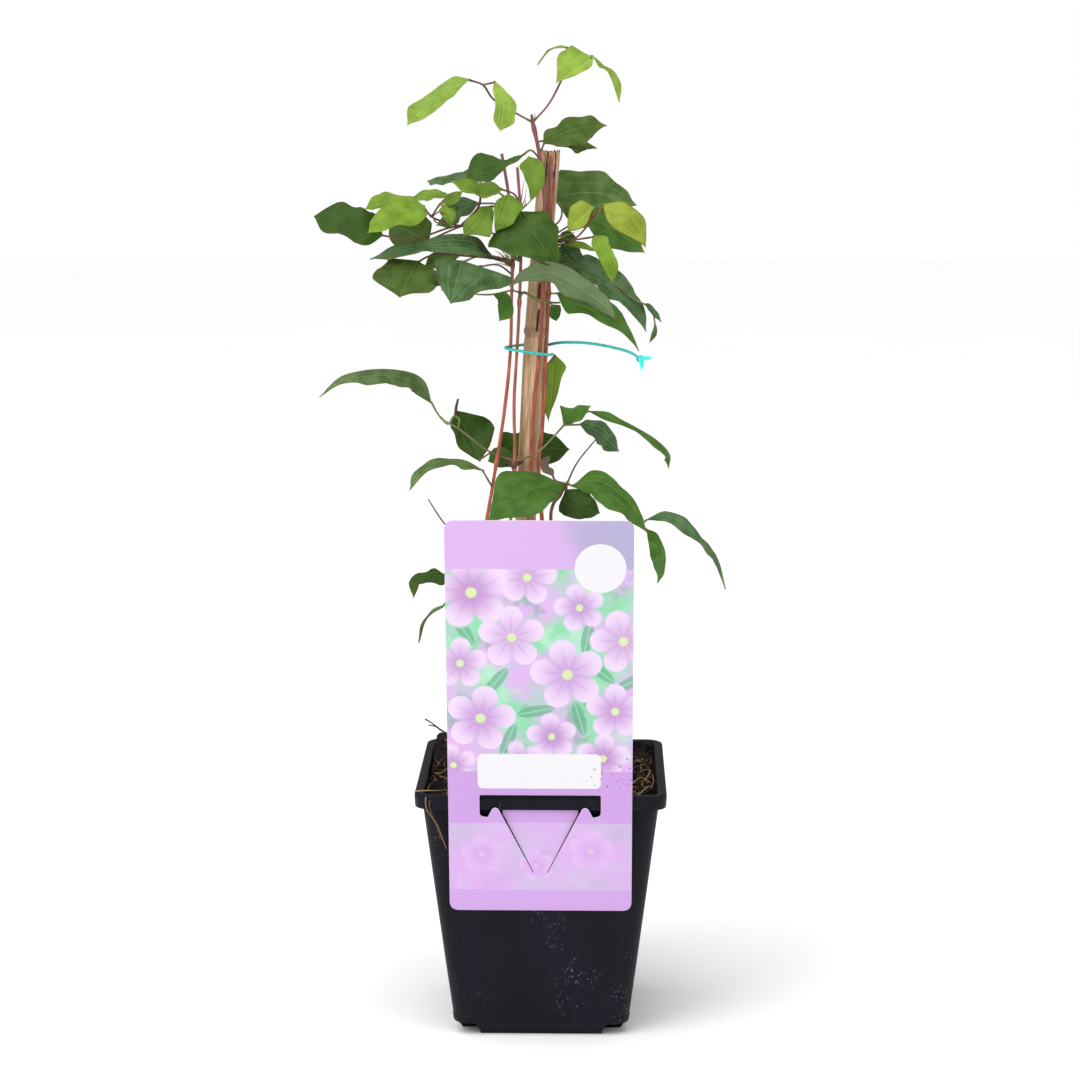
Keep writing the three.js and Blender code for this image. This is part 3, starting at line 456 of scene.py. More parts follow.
shape = new_shape()
loft(shape, len(POT_RINGS), 4 * (CORNER_STEPS + 3), place_on_ring)
press_cross(shape, BASE_RISE, FOOT_HALF, 0, FOOT_TAPER)
press_cross(shape, BASE_RISE + WALL, FOOT_HALF - WALL, WALL, FOOT_TAPER)
pot = finished("nursery_pot", shape, [black_plastic_paint()], "pot", 32)
for x in (-DRAIN_PLACE, DRAIN_PLACE):
    for y in (-DRAIN_PLACE, DRAIN_PLACE):
        drill = bmesh.new()
        bmesh.ops.create_cone(drill, cap_ends=True, segments=28, radius1=DRAIN_RADIUS * MM,
                              radius2=DRAIN_RADIUS * MM, depth=DRAIN_DEPTH * MM,
                              matrix=Matrix.Translation(Vector((x, y, BASE_RISE)) * MM))
        cutter = bpy.data.objects.new("drill", bpy.data.meshes.new("drill"))
        drill.to_mesh(cutter.data)
        drill.free()
        bpy.context.collection.objects.link(cutter)
        hole = pot.modifiers.new("drain", "BOOLEAN")
        hole.operation = "DIFFERENCE"
        hole.object = cutter
        drilled = bpy.data.meshes.new_from_object(pot.evaluated_get(bpy.context.evaluated_depsgraph_get()))
        pot.modifiers.clear()
        pot.data = drilled
        bpy.data.meshes.remove(cutter.data)

# ---- The soil ----
# Dark peat, heaped up a little at the back left, with bark chips, pale fibres and bits of straw
# pressed into its top.

SOIL_LEVEL = 128.5
MOUND_X, MOUND_Y, MOUND_HEIGHT, MOUND_SPREAD = -28, 42, 21, 25
SOIL_STEPS, SOIL_WAIST = 120, 60
SOIL_GAP, SOIL_CORNER, SOIL_REACH, SOIL_SINK = 0.35, 7.5, 0.97, 0.5
CRUMB_COUNT, CHIP_COUNT, FIBRE_COUNT = 900, 330, 420


def soil_half(height):
    """Half the width of the soil, just inside the wall, at a height."""
    return wall_half(height) - WALL - SOIL_GAP


def soil_height(x, y):
    """The soil's level, with its mound, its lumps and its crumbs."""
    distance = (x - MOUND_X) ** 2 + (y - MOUND_Y) ** 2
    mound = MOUND_HEIGHT * math.exp(-distance / (2 * MOUND_SPREAD**2))
    lumps = 1.3 * math.sin(x * 0.31 + 1.2 * math.sin(y * 0.17)) * math.sin(y * 0.27 + 0.6)
    crumbs = 0.7 * math.sin(x * 0.83 + y * 0.47) + 0.5 * math.sin(y * 0.95 - x * 0.38)
    return SOIL_LEVEL + mound + lumps + crumbs


def in_pot(across, back, height):
    """A point of a square of side 2, brought inside the pot's rounded square at a height."""
    half = soil_half(height)
    x, y = abs(across) * half, abs(back) * half
    over = Vector((max(x - half + SOIL_CORNER, 0), max(y - half + SOIL_CORNER, 0)))
    if over.x > 0 and over.y > 0:
        over *= max(over.x, over.y) / over.length
        x, y = half - SOIL_CORNER + over.x, half - SOIL_CORNER + over.y
    return math.copysign(x, across), math.copysign(y, back)


def peat_paint():
    paint = Paint("peat")
    where = paint.place()
    coarse = paint.noise(where, 160, 6, 0.7)
    fine = paint.noise(where, 900, 4, 0.7)
    crumb = paint.node("TexVoronoi", {"feature": "F1"}, {"Vector": where, "Scale": 330})
    colour = paint.mix(coarse.ease(0.35, 0.7), tint("0d0a09"), tint("2b1f18"))
    colour = paint.mix(fine.ease(0.62, 0.76) * 0.4, colour, tint("5c4636"))
    colour = paint.mix(crumb.ease(0.35, 0.6) * 0.8, colour, tint("0a0807"))
    colour = paint.mix(1.0, colour, paint.carried("tone", "Color"), "MULTIPLY")
    return paint.surface(colour, 0.95 - coarse * 0.15, paint.bump(fine + crumb * 2, 0.5 * MM),
                         {"Specular IOR Level": 0.2})


def chaff_paint():
    paint = Paint("straw_and_bark")
    where = paint.place()
    grain = paint.noise(where, 1400, 3)
    colour = paint.mix(1.0, paint.mix(grain, tint("8c8c8c"), tint("ffffff")),
                       paint.carried("tone", "Color"), "MULTIPLY")
    return paint.surface(colour, 0.85 - grain * 0.2, paint.bump(grain, 0.15 * MM),
                         {"Specular IOR Level": 0.3})


shape = new_shape()
tone = shape.verts.layers.float_color["tone"]
ground = bmesh.ops.create_grid(shape, x_segments=SOIL_STEPS, y_segments=SOIL_STEPS, size=1)["verts"]
for vertex in ground:
    x, y = in_pot(vertex.co.x, vertex.co.y, SOIL_LEVEL)
    rough = noise.fractal(Vector((x, y, 3)) * 0.22, 0.9, 2.1, 4) * 1.1
    inner = min(1, 8 * (1 - max(abs(vertex.co.x), abs(vertex.co.y))))
    vertex.co = Vector((x, y, soil_height(x, y) + rough * inner - SOIL_SINK)) * MM
    vertex[tone] = (1, 1, 1, 1)
rim = [edge for edge in shape.edges if edge.is_boundary]
above = SOIL_LEVEL
for height in (SOIL_WAIST, BASE_RISE + WALL + SOIL_GAP):
    wall = bmesh.ops.extrude_edge_only(shape, edges=rim)["geom"]
    factor = soil_half(height) / soil_half(above)
    for vertex in [part for part in wall if isinstance(part, bmesh.types.BMVert)]:
        vertex.co = Vector((vertex.co.x * factor, vertex.co.y * factor, height * MM))
    rim = [part for part in wall if isinstance(part, bmesh.types.BMEdge)]
    above = height
bmesh.ops.holes_fill(shape, edges=rim, sides=0)
press_cross(shape, BASE_RISE + WALL + SOIL_GAP, FOOT_HALF - WALL - SOIL_GAP, WALL + SOIL_GAP, FOOT_TAPER)
chance = random.Random(11)


def lying(lift):
    """A chance place on the soil, or a lift above it."""
    across, back = chance.uniform(-SOIL_REACH, SOIL_REACH), chance.uniform(-SOIL_REACH, SOIL_REACH)
    x, y = in_pot(across, back, SOIL_LEVEL)
    return Vector((x, y, soil_height(x, y) + lift)) * MM


for number in range(CRUMB_COUNT):
    place = lying(-0.4)
    size = chance.uniform(0.5, 1.7) * MM
    crumb = bmesh.ops.create_icosphere(shape, subdivisions=1, radius=size)["verts"]
    shade = chance.uniform(0.5, 1.7)
    for vertex in crumb:
        vertex.co = vertex.co * chance.uniform(0.7, 1.25) + place
        vertex[tone] = (shade, shade * chance.uniform(0.9, 1.0), shade * 0.95, 1)
finished("peat", shape, [peat_paint()], "soil", 50)

shape = new_shape()
tone = shape.verts.layers.float_color["tone"]
BARKS = ["5b4434", "7a5b40", "3b2b22", "8f7355", "a98c66", "4a3024"]
STRAWS = ["b89a6c", "8a6a45", "6b4a30", "c9b184", "9c5f3c", "54402e"]
for number in range(CHIP_COUNT):
    turn = Matrix.Rotation(chance.uniform(0, 6.28), 4, "Z")
    turn = turn @ Matrix.Rotation(chance.uniform(-0.5, 0.5), 4, "X")
    long, broad, thin = chance.uniform(1.5, 5.5), chance.uniform(0.8, 2.4), chance.uniform(0.3, 0.8)
    chip = bmesh.ops.create_cone(shape, cap_ends=True, segments=6, radius1=0.5, radius2=0.42, depth=1)
    place = lying(0.3)
    shade = tint(chance.choice(BARKS), chance.uniform(0.4, 0.9))
    for vertex in chip["verts"]:
        ragged = 1 + 0.5 * noise.noise(vertex.co * 3 + Vector((number, 0, 0)))
        vertex.co = turn @ Vector((vertex.co.x * long * ragged, vertex.co.y * broad * ragged,
                                   vertex.co.z * thin)) * MM + place
        vertex[tone] = (*shade, 1)
limit = wall_half(SOIL_LEVEL) - WALL - 1
for number in range(FIBRE_COUNT):
    start = lying(chance.uniform(-0.2, 1.2)) / MM
    turn = chance.uniform(0, 6.28)
    reach = chance.uniform(3, 13)
    way = Vector((math.cos(turn), math.sin(turn), 0)) * reach
    route = []
    for part in range(4):
        spot = start + way * part / 3 + astray(0.9)
        spot.x, spot.y = max(-limit, min(limit, spot.x)), max(-limit, min(limit, spot.y))
        spot.z = max(soil_height(spot.x, spot.y) + 0.1, spot.z) + chance.uniform(0, 0.8)
        route.append(spot[:])
    shade = tint(chance.choice(STRAWS), chance.uniform(0.5, 1.0))
    thick = chance.uniform(0.12, 0.34) * MM
    bar(shape, route, 5, 4, lambda along, turn: thick * (1.1 - along * 0.7), lambda along: shade)
# Loose bits on the rim: a root strand that hangs outside, straws, and two dark twigs.
LOOSE = [
    ([(-57.9, -60, 133.4), (-58.6, -66.2, 132.6), (-58.2, -66.6, 128), (-52.9, -63.2, 118.2),
      (-48.4, -61.4, 105.3)], 0.3, "a9825a"),
    ([(-54.6, -58, 132), (-56.8, -66.3, 131), (-55.4, -64.6, 124), (-50.4, -62, 110)], 0.22, "8a6440"),
    ([(-64.6, -58, 134.8), (-57, -60, 135.6), (-50.2, -56, 134.6)], 0.35, "c2a274"),
    ([(-58, -59.6, 135.3), (-57, -56, 137.6), (-55.6, -54, 138.4)], 0.2, "8f6f49"),
    ([(-64.4, 30, 152.6), (-61.4, 30.4, 150.8), (-57.9, 30, 148.2), (-50, 30, 143)], 0.42, "2b211c"),
    ([(-62.6, 33, 148.6), (-59, 32, 148), (-52, 30, 143)], 0.35, "3a2b22"),
    ([(57, -40, 132), (58.6, -30, 134.6), (56, -16, 133)], 0.3, "a5703f"),
    ([(50, -50, 131), (55, -44, 134), (57, -34, 132)], 0.3, "c4a77c"),
    ([(54, -20, 131), (57, -8, 134), (52, 4, 131)], 0.35, "b98f5e"),
    ([(46, -30, 131), (52, -26, 134.6), (57, -27, 132)], 0.26, "cfb88f"),
]
for route, thick, code in LOOSE:
    shade = tint(code, 0.9)
    bar(shape, route, 22, 6, lambda along, turn: thick * (1.1 - along * 0.5) * MM, lambda along: shade)
finished("soil_litter", shape, [chaff_paint()], "soil", 50)

# ---- The cane ----
# A bamboo stake with one node ring. Two cracks run up its front from the ring, and fine splits lie
# near its sawn top, which is frayed. Their dark insides are painted shade, and a knot hole near the
# top is only painted: painted shade for its inside, with a lilac-grey stain round it.

CANE_ROUTE = [(-23, 2.6, 16), (-16, 2, 133), (-7.5, 0.5, 299), (-4.1, 0, 367), (3.7, 0, 459)]
CANE_RADIUS, CANE_LENGTH = 5.5, 443.8
NODE_AT, SPLIT_FROM, SAWN_FROM = 0.79, 0.935, 0.985
# Each crack: its turn, the height of its middle over the ring, half its length.
CRACKS = [(-2.12, 6.5, 6.5), (-2.2, 21, 5.5)]
HOLE_TURN, HOLE_AT = -1.75, 82
SPLITS, SPLIT_TURN = 7, 0.5


def cane_radius(along, turn):
    fibre = 0.1 * math.sin(turn * 13 + 1.7 * math.sin(turn * 3)) + 0.06 * math.sin(turn * 29 + along * 9)
    bend = 0.18 * math.sin(turn + 2.1 * along) + 0.1 * math.sin(2 * turn + 5 * along)
    offset = (along - NODE_AT) * CANE_LENGTH
    ring = 0.55 * math.exp(-(offset / 1.3) ** 2) - 0.35 * math.exp(-((offset + 2.6) / 1.2) ** 2)
    crack = 0.0
    for crack_turn, middle, half_length in CRACKS:
        near = math.remainder(turn - crack_turn, 2 * math.pi)
        share = max(0, 1 - ((offset - middle) / half_length) ** 2)
        crack -= 1.2 * math.exp(-(near / 0.12) ** 2) * share**0.5
    worn = 0.35 * max(0, (along - SAWN_FROM) / (1 - SAWN_FROM)) * math.sin(turn * 5 + 1)
    split = 1.5 * max(0, (along - SPLIT_FROM) / (1 - SPLIT_FROM))
    split *= max(0, math.sin(SPLITS * turn + SPLIT_TURN)) ** 8
    return (CANE_RADIUS - 0.25 + fibre + bend + ring + crack - abs(worn) - split) * MM


def bamboo_paint():
    paint = Paint("weathered_bamboo")
    around, across, along = paint.parts(paint.carried("strand"))
    where = paint.vector(around, across, along * 22)
    fibre = paint.noise(paint.vector(around * 16, across * 16, along * 60), 1.0, 5, 0.65)
    patch = paint.noise(where, 1.3, 4, 0.6)
    stain = paint.noise(paint.vector(around * 2, across * 2, along * 34), 1.0, 4, 0.7)
    colour = paint.mix(patch.ease(0.36, 0.62), tint("a88462"), tint("dcbc94"))
    colour = paint.mix(fibre.ease(0.45, 0.7) * 0.75, colour, tint("7a563e"))
    colour = paint.mix(fibre.ease(0.42, 0.28) * 0.7, colour, tint("e4cba8"))
    colour = paint.mix(stain.ease(0.56, 0.7) * 0.55, colour, tint("6a5850"))
    colour = paint.mix(stain.ease(0.4, 0.28) * 0.5, colour, tint("a89c92"))
    ring = (abs(along - NODE_AT * CANE_LENGTH * MM) - 1.8 * MM).ease(1.6 * MM, 0)
    colour = paint.mix(ring * 0.35, colour, tint("4a3122"))
    angle = paint.node("Math", {"operation": "ARCTAN2"}, {0: across, 1: around})
    offset = along * (1 / MM) - NODE_AT * CANE_LENGTH
    # Painted shade inside the cracks: a near-black line along each carved groove.
    for crack_turn, middle, half_length in CRACKS:
        crack = abs(angle - crack_turn + (fibre - 0.5) * 0.3 + (stain - 0.5) * 0.5).ease(0.2, 0.1)
        crack = crack * abs(offset - middle).ease(half_length, half_length * 0.8)
        colour = paint.mix(crack * 0.92, colour, tint("1c1210"))
    # The knot hole is not cut into the cane: a lilac-grey stain round it, and painted shade, a dark spot, for
    # its inside.
    hole = (((angle - HOLE_TURN) * CANE_RADIUS) ** 2.0 * 5 + (offset - HOLE_AT) ** 2.0) ** 0.5
    colour = paint.mix(hole.ease(8, 3) * 0.6, colour, tint("a9a0ac"))
    colour = paint.mix(hole.ease(2.6, 1.6) * 0.9, colour, tint("20161a"))
    strips = (angle * 3.0 + (stain - 0.5) * 2).wave().ease(-0.2, 0.6) * offset.ease(58, 72)
    colour = paint.mix(strips * 0.35, colour, tint("94543a"))
    # Painted shade in the splits near the top: dark lines between the fibres.
    splits = (angle * float(SPLITS) + SPLIT_TURN).wave().ease(0.7, 0.95) * offset.ease(66, 84)
    colour = paint.mix(splits * 0.85, colour, tint("24140f"))
    low = along.ease(0.31, 0.27) * along.ease(0.13, 0.16)
    colour = paint.mix(low * patch * 0.6, colour, tint("5d4636"))
    return paint.surface(colour, fibre * 0.3 + 0.5, paint.bump(fibre + stain * 0.4, 0.35 * MM, 0.9),
                         {"Specular IOR Level": 0.35})


shape = new_shape()
bar(shape, CANE_ROUTE, 330, 72, cane_radius)
# Strands of torn fibre stand round the sawn edge.
STRAND_COUNT, TOP_X = 64, 3.5
STRAND_SHADES = [(1.35, 1.15, 0.95), (0.7, 0.55, 0.45), (1.3, 0.85, 0.55), (0.9, 0.8, 0.75)]
chance = random.Random(21)
for number in range(STRAND_COUNT):
    turn = chance.uniform(0, 6.28)
    out = CANE_RADIUS - chance.uniform(0.2, 2.2)
    x, y = TOP_X + out * math.cos(turn), out * math.sin(turn)
    low, high = chance.uniform(449, 456), chance.uniform(458.2, 459.9)
    thick = chance.uniform(0.2, 0.6)
    shade = chance.choice(STRAND_SHADES)
    bar(shape, [(x - 0.5, y, low), (x, y * 1.01, (low + high) / 2), (x + 0.2, y, high)], 5, 5,
        lambda along, turn: thick * (1 - 0.5 * along) * MM, lambda along: shade)
finished("bamboo_cane", shape, [bamboo_paint()], "cane", 50)

# ---- The leaves and stalks ----
# Thin, slightly leathery blades with three arching main veins, folded along the midrib and waved
# at the edge. Old ones are dark with brown margins, young ones lime. Their purplish stalks twine.

LOOKS = {
    # colours of the blade, its veins and its stalk; then how brown its rim is, how spotted, and how much
    # painted sheen it has
    "deep": ("304c04", "4a7428", "5f5a34", 0.35, 0.35, 0.04),
    "dusk": ("2e4c02", "43681f", "5f4a34", 0.6, 0.4, 0.0),
    "bluish": ("30500e", "6f966a", "5f5a3a", 0.6, 0.3, 0.35),
    "misty": ("3c5c22", "6f9670", "6f7a44", 0.3, 0.25, 0.55),
    "moss": ("45600e", "6f8c3c", "5a5a34", 0.9, 0.8, 0.1),
    "old": ("3c5602", "5f7c34", "5f4a30", 1.0, 1.0, 0.1),
    "sage": ("486a1c", "83a060", "6f7a44", 0.4, 0.4, 0.3),
    "fresh": ("3c6612", "5f8c38", "6f7d40", 0.25, 0.25, 0.12),
    "grass": ("5c7c16", "7c9a34", "70803c", 0.2, 0.1, 0.1),
    "lime": ("6e8f1d", "8cab40", "6a4a30", 0.15, 0.1, 0.05),
    "pale": ("82a132", "a0bc58", "4a3038", 0.1, 0.1, 0.1),
    "olive": ("5c7a1a", "83a03c", "6a5a38", 0.7, 0.5, 0.05),
    "yellow": ("809224", "9cae48", "7a4a30", 1.0, 1.0, 0.05),
    "under": ("50603e", "6f8058", "6f7048", 0.5, 0.7, 0.2),
    "dusty": ("4a6526", "7c9460", "6f7a44", 0.3, 0.3, 0.45),
    "withered": ("6c5c50", "84766a", "5a4434", 1.0, 1.0, 0.2),
}
STALK_RADIUS, STALK_FOOT, STALK_NECK, STALK_HOLD, STALK_START = 0.65, 0.28, 0.12, 1.2, "6a4238"
BLADE_PARTS, TIP_HALF, BLADE_HALF = 6, 0.12, 0.2
# The side veins' places across a half blade, and how far the veins sink above and stand out below.
INNER_VEIN, OUTER_VEIN = 0.43, 0.78
VEIN_DEPTH, VEIN_REACH, RIB_HEIGHT, RIB_REACH = 0.32, 0.9, 0.25, 0.5
# How much a blade folds, waves and crimps for its width, and how ragged its margin is.
FOLD, WAVE, CRIMP, RAGGED = 0.26, 0.09, 0.2, 0.11


def leaf(look, stalk, spine, sides, face):
    """A leaf: its stalk's course, its midrib's course, the widths of its two halves at five even
    places along it, and where its upper face looks."""
    return dict(look=look, stalk=stalk, spine=spine, sides=sides, face=face)


def oval(width, belly, tip_power=0.75):
    """The halves of an oval blade, which is widest at "belly"."""
    base_power = tip_power * belly / (1 - belly)
    half = [width / 2 * (u / belly) ** base_power * ((1 - u) / (1 - belly)) ** tip_power
            for u in even(BLADE_PARTS)[1:-1]]
    return [half, half]


def half_width(given, u):
    """The width of one half, on a smooth line through the five places where it is given."""
    line = [0, *given, 0]
    part = min(BLADE_PARTS - 1, int(u * BLADE_PARTS))
    start, end = line[part], line[part + 1]
    before = line[part - 1] if part else -0.6 * end
    after = line[part + 2] if part < BLADE_PARTS - 1 else -0.35 * start
    t = u * BLADE_PARTS - part
    leave, reach = (end - before) / 2, (after - start) / 2
    return max(0.0, start * (2 * t**3 - 3 * t**2 + 1) + leave * (t**3 - 2 * t**2 + t)
               + end * (3 * t**2 - 2 * t**3) + reach * (t**3 - t**2))


def add_blade(shape, item, index):
    """A closed thin skin, rolled round the margin: over the upper face, and back underneath.

    Its points carry their place along and across the blade (strand), the half's width, the length run
    and the leaf's number (span), and the leaf's looks: brown rim, spots and painted sheen (wear_and_sheen),
    tone and vein."""
    strand = shape.verts.layers.float_vector["strand"]
    span = shape.verts.layers.float_vector["span"]
    wear_and_sheen = shape.verts.layers.float_vector["wear_and_sheen"]
    tone = shape.verts.layers.float_color["tone"]
    vein = shape.verts.layers.float_color["vein"]
    blade, veins, _, *looks = LOOKS[item["look"]]
    reach = route_length(item["spine"])
    rows = min(46, max(18, round(reach / 1.3)))
    width = max(left + right for left, right in zip(*item["sides"]))
    columns = 2 * min(11, max(5, round(width / 2.6)))
    # Rows lie closer together at both ends.
    shares = [t - 0.1 * math.sin(2 * math.pi * t) for t in even(rows)]
    line = course(item["spine"], shares)
    upper = Vector(item["face"]).normalized()
    fold = FOLD + 0.05 * math.sin(2.3 * index)
    waves = 2.2 + (index % 3) * 0.45
    seed = Vector((7.3 * index, 3.1 * len(item["spine"]), width))
    blade_tone = [*tint(blade, 0.92 + 0.16 * math.sin(5.7 * index) ** 2), 1]
    vein_tone = [*tint(veins), 1]

    def place(vertex, level, ring):
        u = shares[level]
        centre, way = line[level]
        normal = (upper - way * upper.dot(way)).normalized()
        side = way.cross(normal)
        above = 1 if ring <= columns else -1
        v = 2 * (ring if above > 0 else 2 * columns - ring) / columns - 1
        half = max(TIP_HALF, half_width(item["sides"][v > 0], u))
        margin = Vector((u * reach * 0.11, math.copysign(4, v), 0)) + seed
        ragged = 1 + RAGGED * noise.noise(margin) + 0.05 * noise.noise(margin * 3.1)
        wave = WAVE * math.sin(2 * math.pi * waves * u + 1.7 * index + (2.1 if v < 0 else 0))
        lift = half * (fold * math.sqrt(v * v + 0.004) + (wave - 0.16) * v * v)
        near = min(abs(abs(v) - vein_at) * half for vein_at in (0, INNER_VEIN, OUTER_VEIN))
        lift -= VEIN_DEPTH * math.exp(-(near / VEIN_REACH) ** 2) * min(1, half / 6) * (1 - v * v)
        crimp = noise.noise(Vector((v * 1.3, u * reach * 0.14, 5)) + seed)
        lift += half * CRIMP * crimp * abs(v) ** 1.5 * min(1, half / 5)
        lift += 0.35 * noise.noise(Vector((v * half * 0.2, u * reach * 0.2, 0)) + seed) * min(1, half / 5)
        rib = RIB_HEIGHT * math.exp(-((v * half) / RIB_REACH) ** 2) if above < 0 else 0
        thick = BLADE_HALF * (1 - v**4) ** 0.5 + rib
        vertex.co = centre + (side * (v * half * ragged) + normal * (lift + above * thick)) * MM
        vertex[strand] = (u, v, above)
        vertex[span] = (half, u * reach, index)
        vertex[wear_and_sheen] = looks
        vertex[tone] = blade_tone
        vertex[vein] = vein_tone

    loft(shape, rows + 1, 2 * columns, place)


def add_stalk(shape, item):
    """The stalk runs on a little way into the blade's base."""
    base, towards = Vector(item["spine"][0]), Vector(item["spine"][1])
    end = base + (towards - base).normalized() * STALK_HOLD
    route = [*item["stalk"], end[:]]
    shade = tint(LOOKS[item["look"]][2])
    first = tint(STALK_START)

    def radius(along, turn):
        ends = STALK_FOOT * math.exp(-along / 0.05) + STALK_NECK * math.exp(-(1 - along) / 0.08)
        return (STALK_RADIUS * 0.76 + ends + 0.05 * math.sin(turn * 4 + 9 * along)) * MM

    def tone(along):
        return [a + (b - a) * min(1, along * 1.4) for a, b in zip(first, shade)]

    bar(shape, route, max(6, round(route_length(route) / 1.6)), 10, radius, tone, 1)


def leaf_paint():
    paint = Paint("leaf")
    u, v, above = paint.parts(paint.carried("strand"))
    half, run, number = paint.parts(paint.carried("span"))
    rim, spots, painted_sheen_amount = paint.parts(paint.carried("wear_and_sheen"))
    out = abs(v)
    flat = paint.vector(v * half, run, number * 3.7)
    cloud = paint.noise(flat, 0.12, 4, 0.5)
    fine = paint.noise(flat, 1.1, 4, 0.6)
    tone = paint.carried("tone", "Color")
    accent = paint.carried("vein", "Color")
    wander = (fine - 0.5) * 0.5
    mid = (out * half + wander).ease(0.62, 0.12)
    lateral = (abs(out - INNER_VEIN) * half + wander).ease(0.5, 0.06) * half.ease(1.2, 4)
    outer = (abs(out - OUTER_VEIN) * half + wander).ease(0.36, 0.06) * half.ease(2.5, 6) * 0.6
    slant = (run - out * half * 0.9 + (fine - 0.5) * 2.4) * (2 * math.pi / 5.2)
    cross = (slant.wave() * 0.5 + 0.5).ease(0.95, 1.0) * half.ease(2, 6) * 0.35
    net = paint.node("TexVoronoi", {"feature": "DISTANCE_TO_EDGE"},
                     {"Vector": paint.vector(v * half, run, number), "Scale": 0.62})
    mesh = net.ease(0.14, 0.02) * half.ease(1.5, 4)
    veins = mid.most(lateral).most(outer).most(cross)
    dark = paint.mix(1.0, tone, (0.64, 0.67, 0.6), "MULTIPLY")
    bright = paint.mix(0.1, tone, accent)
    colour = paint.mix(cloud.ease(0.3, 0.7), dark, bright)
    colour = paint.mix(fine.ease(0.5, 0.75) * 0.09, colour, accent)
    colour = paint.mix(mesh * 0.05, colour, accent)
    colour = paint.mix(veins * 0.38, colour, accent)
    # Painted sheen: a grey-green mixed into the blade's colour, by the look's sheen amount and a cloudy mask,
    # standing in for light glancing off the leaf.
    sheen = painted_sheen_amount * (cloud.ease(0.4, 0.62) * 0.75 + 0.15)
    colour = paint.mix(sheen * 0.36, colour, tint("788c72"))
    colour = paint.mix(above.ease(0, -0.1) * 0.4, colour, tint("7c9464"))
    edge = ((1 - out) * half - (fine - 0.42) * 1.6).ease(0.55, 0.0) * rim
    colour = paint.mix(edge * 0.85, colour, tint("6b4a2c"))
    tip = (u + (fine - 0.5) * 0.05).ease(0.955, 0.995) * rim
    colour = paint.mix(tip * 0.8, colour, tint("4f3524"))
    freckle = paint.node("TexVoronoi", {"feature": "F1"}, {"Vector": flat, "Scale": 0.5})
    mark = (freckle + (fine - 0.5) * 0.3).ease(0.2, 0.08) * cloud.ease(0.52, 0.66) * spots
    colour = paint.mix(mark * 0.7, colour, tint("6f5233"))
    height = mesh * -0.07 + veins * (above * -0.8) + fine * 0.05 + cloud * 1.2
    roughness = fine * 0.16 + cloud * 0.14 + 0.36 + above.ease(0, -0.1) * 0.2
    return paint.surface(colour, roughness, paint.bump(height, 0.32 * MM, 0.9), {"Specular IOR Level": 0.22})


def bark_paint():
    paint = Paint("stem_bark")
    around, across, along = paint.parts(paint.carried("strand"))
    streak = paint.noise(paint.vector(around * 3, across * 3, along * 90), 1.0, 4, 0.6)
    patch = paint.noise(paint.vector(around, across, along * 160), 0.8, 3)
    shade = paint.mix(patch.ease(0.35, 0.65), (0.66, 0.6, 0.56), (1.3, 1.25, 1.2))
    colour = paint.mix(1.0, paint.carried("tone", "Color"), shade, "MULTIPLY")
    colour = paint.mix(streak.ease(0.55, 0.72) * 0.5, colour, tint("d08a52"))
    colour = paint.mix(streak.ease(0.42, 0.3) * 0.5, colour, tint("3b1e18"))
    return paint.surface(colour, streak * 0.3 + 0.38, paint.bump(streak, 0.2 * MM, 0.8))


leaf_surface, bark_surface = leaf_paint(), bark_paint()


def new_growth():
    """A bmesh with all that the leaf's material reads."""
    shape = new_shape()
    for name in ("span", "wear_and_sheen"):
        shape.verts.layers.float_vector.new(name)
    shape.verts.layers.float_color.new("vein")
    return shape


NODE_REACH = 2.4
SHOOT_COLOURS = ["6f8c34", "8ab04c", "5a7c2c", "9aae58", "6f6a40"]
chance = random.Random(33)


def leafy_stem(node, stem):
    """One climbing stem with all that grows on it."""
    shape = new_growth()
    low, high = tint(stem["low"]), tint(stem["high"])
    length = route_length(stem["path"])

    def radius(along, turn):
        size = stem["radius"] + (stem["tip_radius"] - stem["radius"]) * along
        ridge = 0.07 * math.sin(6 * turn + 30 * along) + 0.05 * math.sin(turn * 3 - 14 * along)
        swell = 0.0
        for share, bulge in stem["nodes"]:
            swell += bulge * math.exp(-(((along - share) * length) / NODE_REACH) ** 2)
        return (size * 0.96 + ridge + swell) * MM

    def tone(along):
        return [a + (b - a) * along**4 for a, b in zip(low, high)]

    bar(shape, stem["path"], round(length / 1.5), 14, radius, tone, 1)
    for colour, thick, route in stem["twigs"]:
        bar(shape, route, 30, 9, lambda along, turn: thick * (1.05 - 0.4 * along) * MM,
            lambda along: tint(colour, 1.1 - 0.5 * along), 1)
    for root, way, count, reach in stem["shoots"]:
        for number in range(count):
            aim = Vector(way) + astray(0.45)
            far = Vector(root) + aim * reach * chance.uniform(0.5, 1)
            bend = Vector(root).lerp(far, 0.5) + astray(0.9)
            thick = chance.uniform(0.22, 0.55)
            shade = tint(chance.choice(SHOOT_COLOURS), chance.uniform(0.8, 1.3))
            bar(shape, [root, bend[:], far[:]], 7, 5, lambda along, turn: thick * (1.1 - 0.8 * along) * MM,
                lambda along: shade, 1)
    for index, item in enumerate(stem["leaves"]):
        add_stalk(shape, item)
        add_blade(shape, item, index)
    finished("leafy_" + node, shape, [leaf_surface, bark_surface], node, 70)


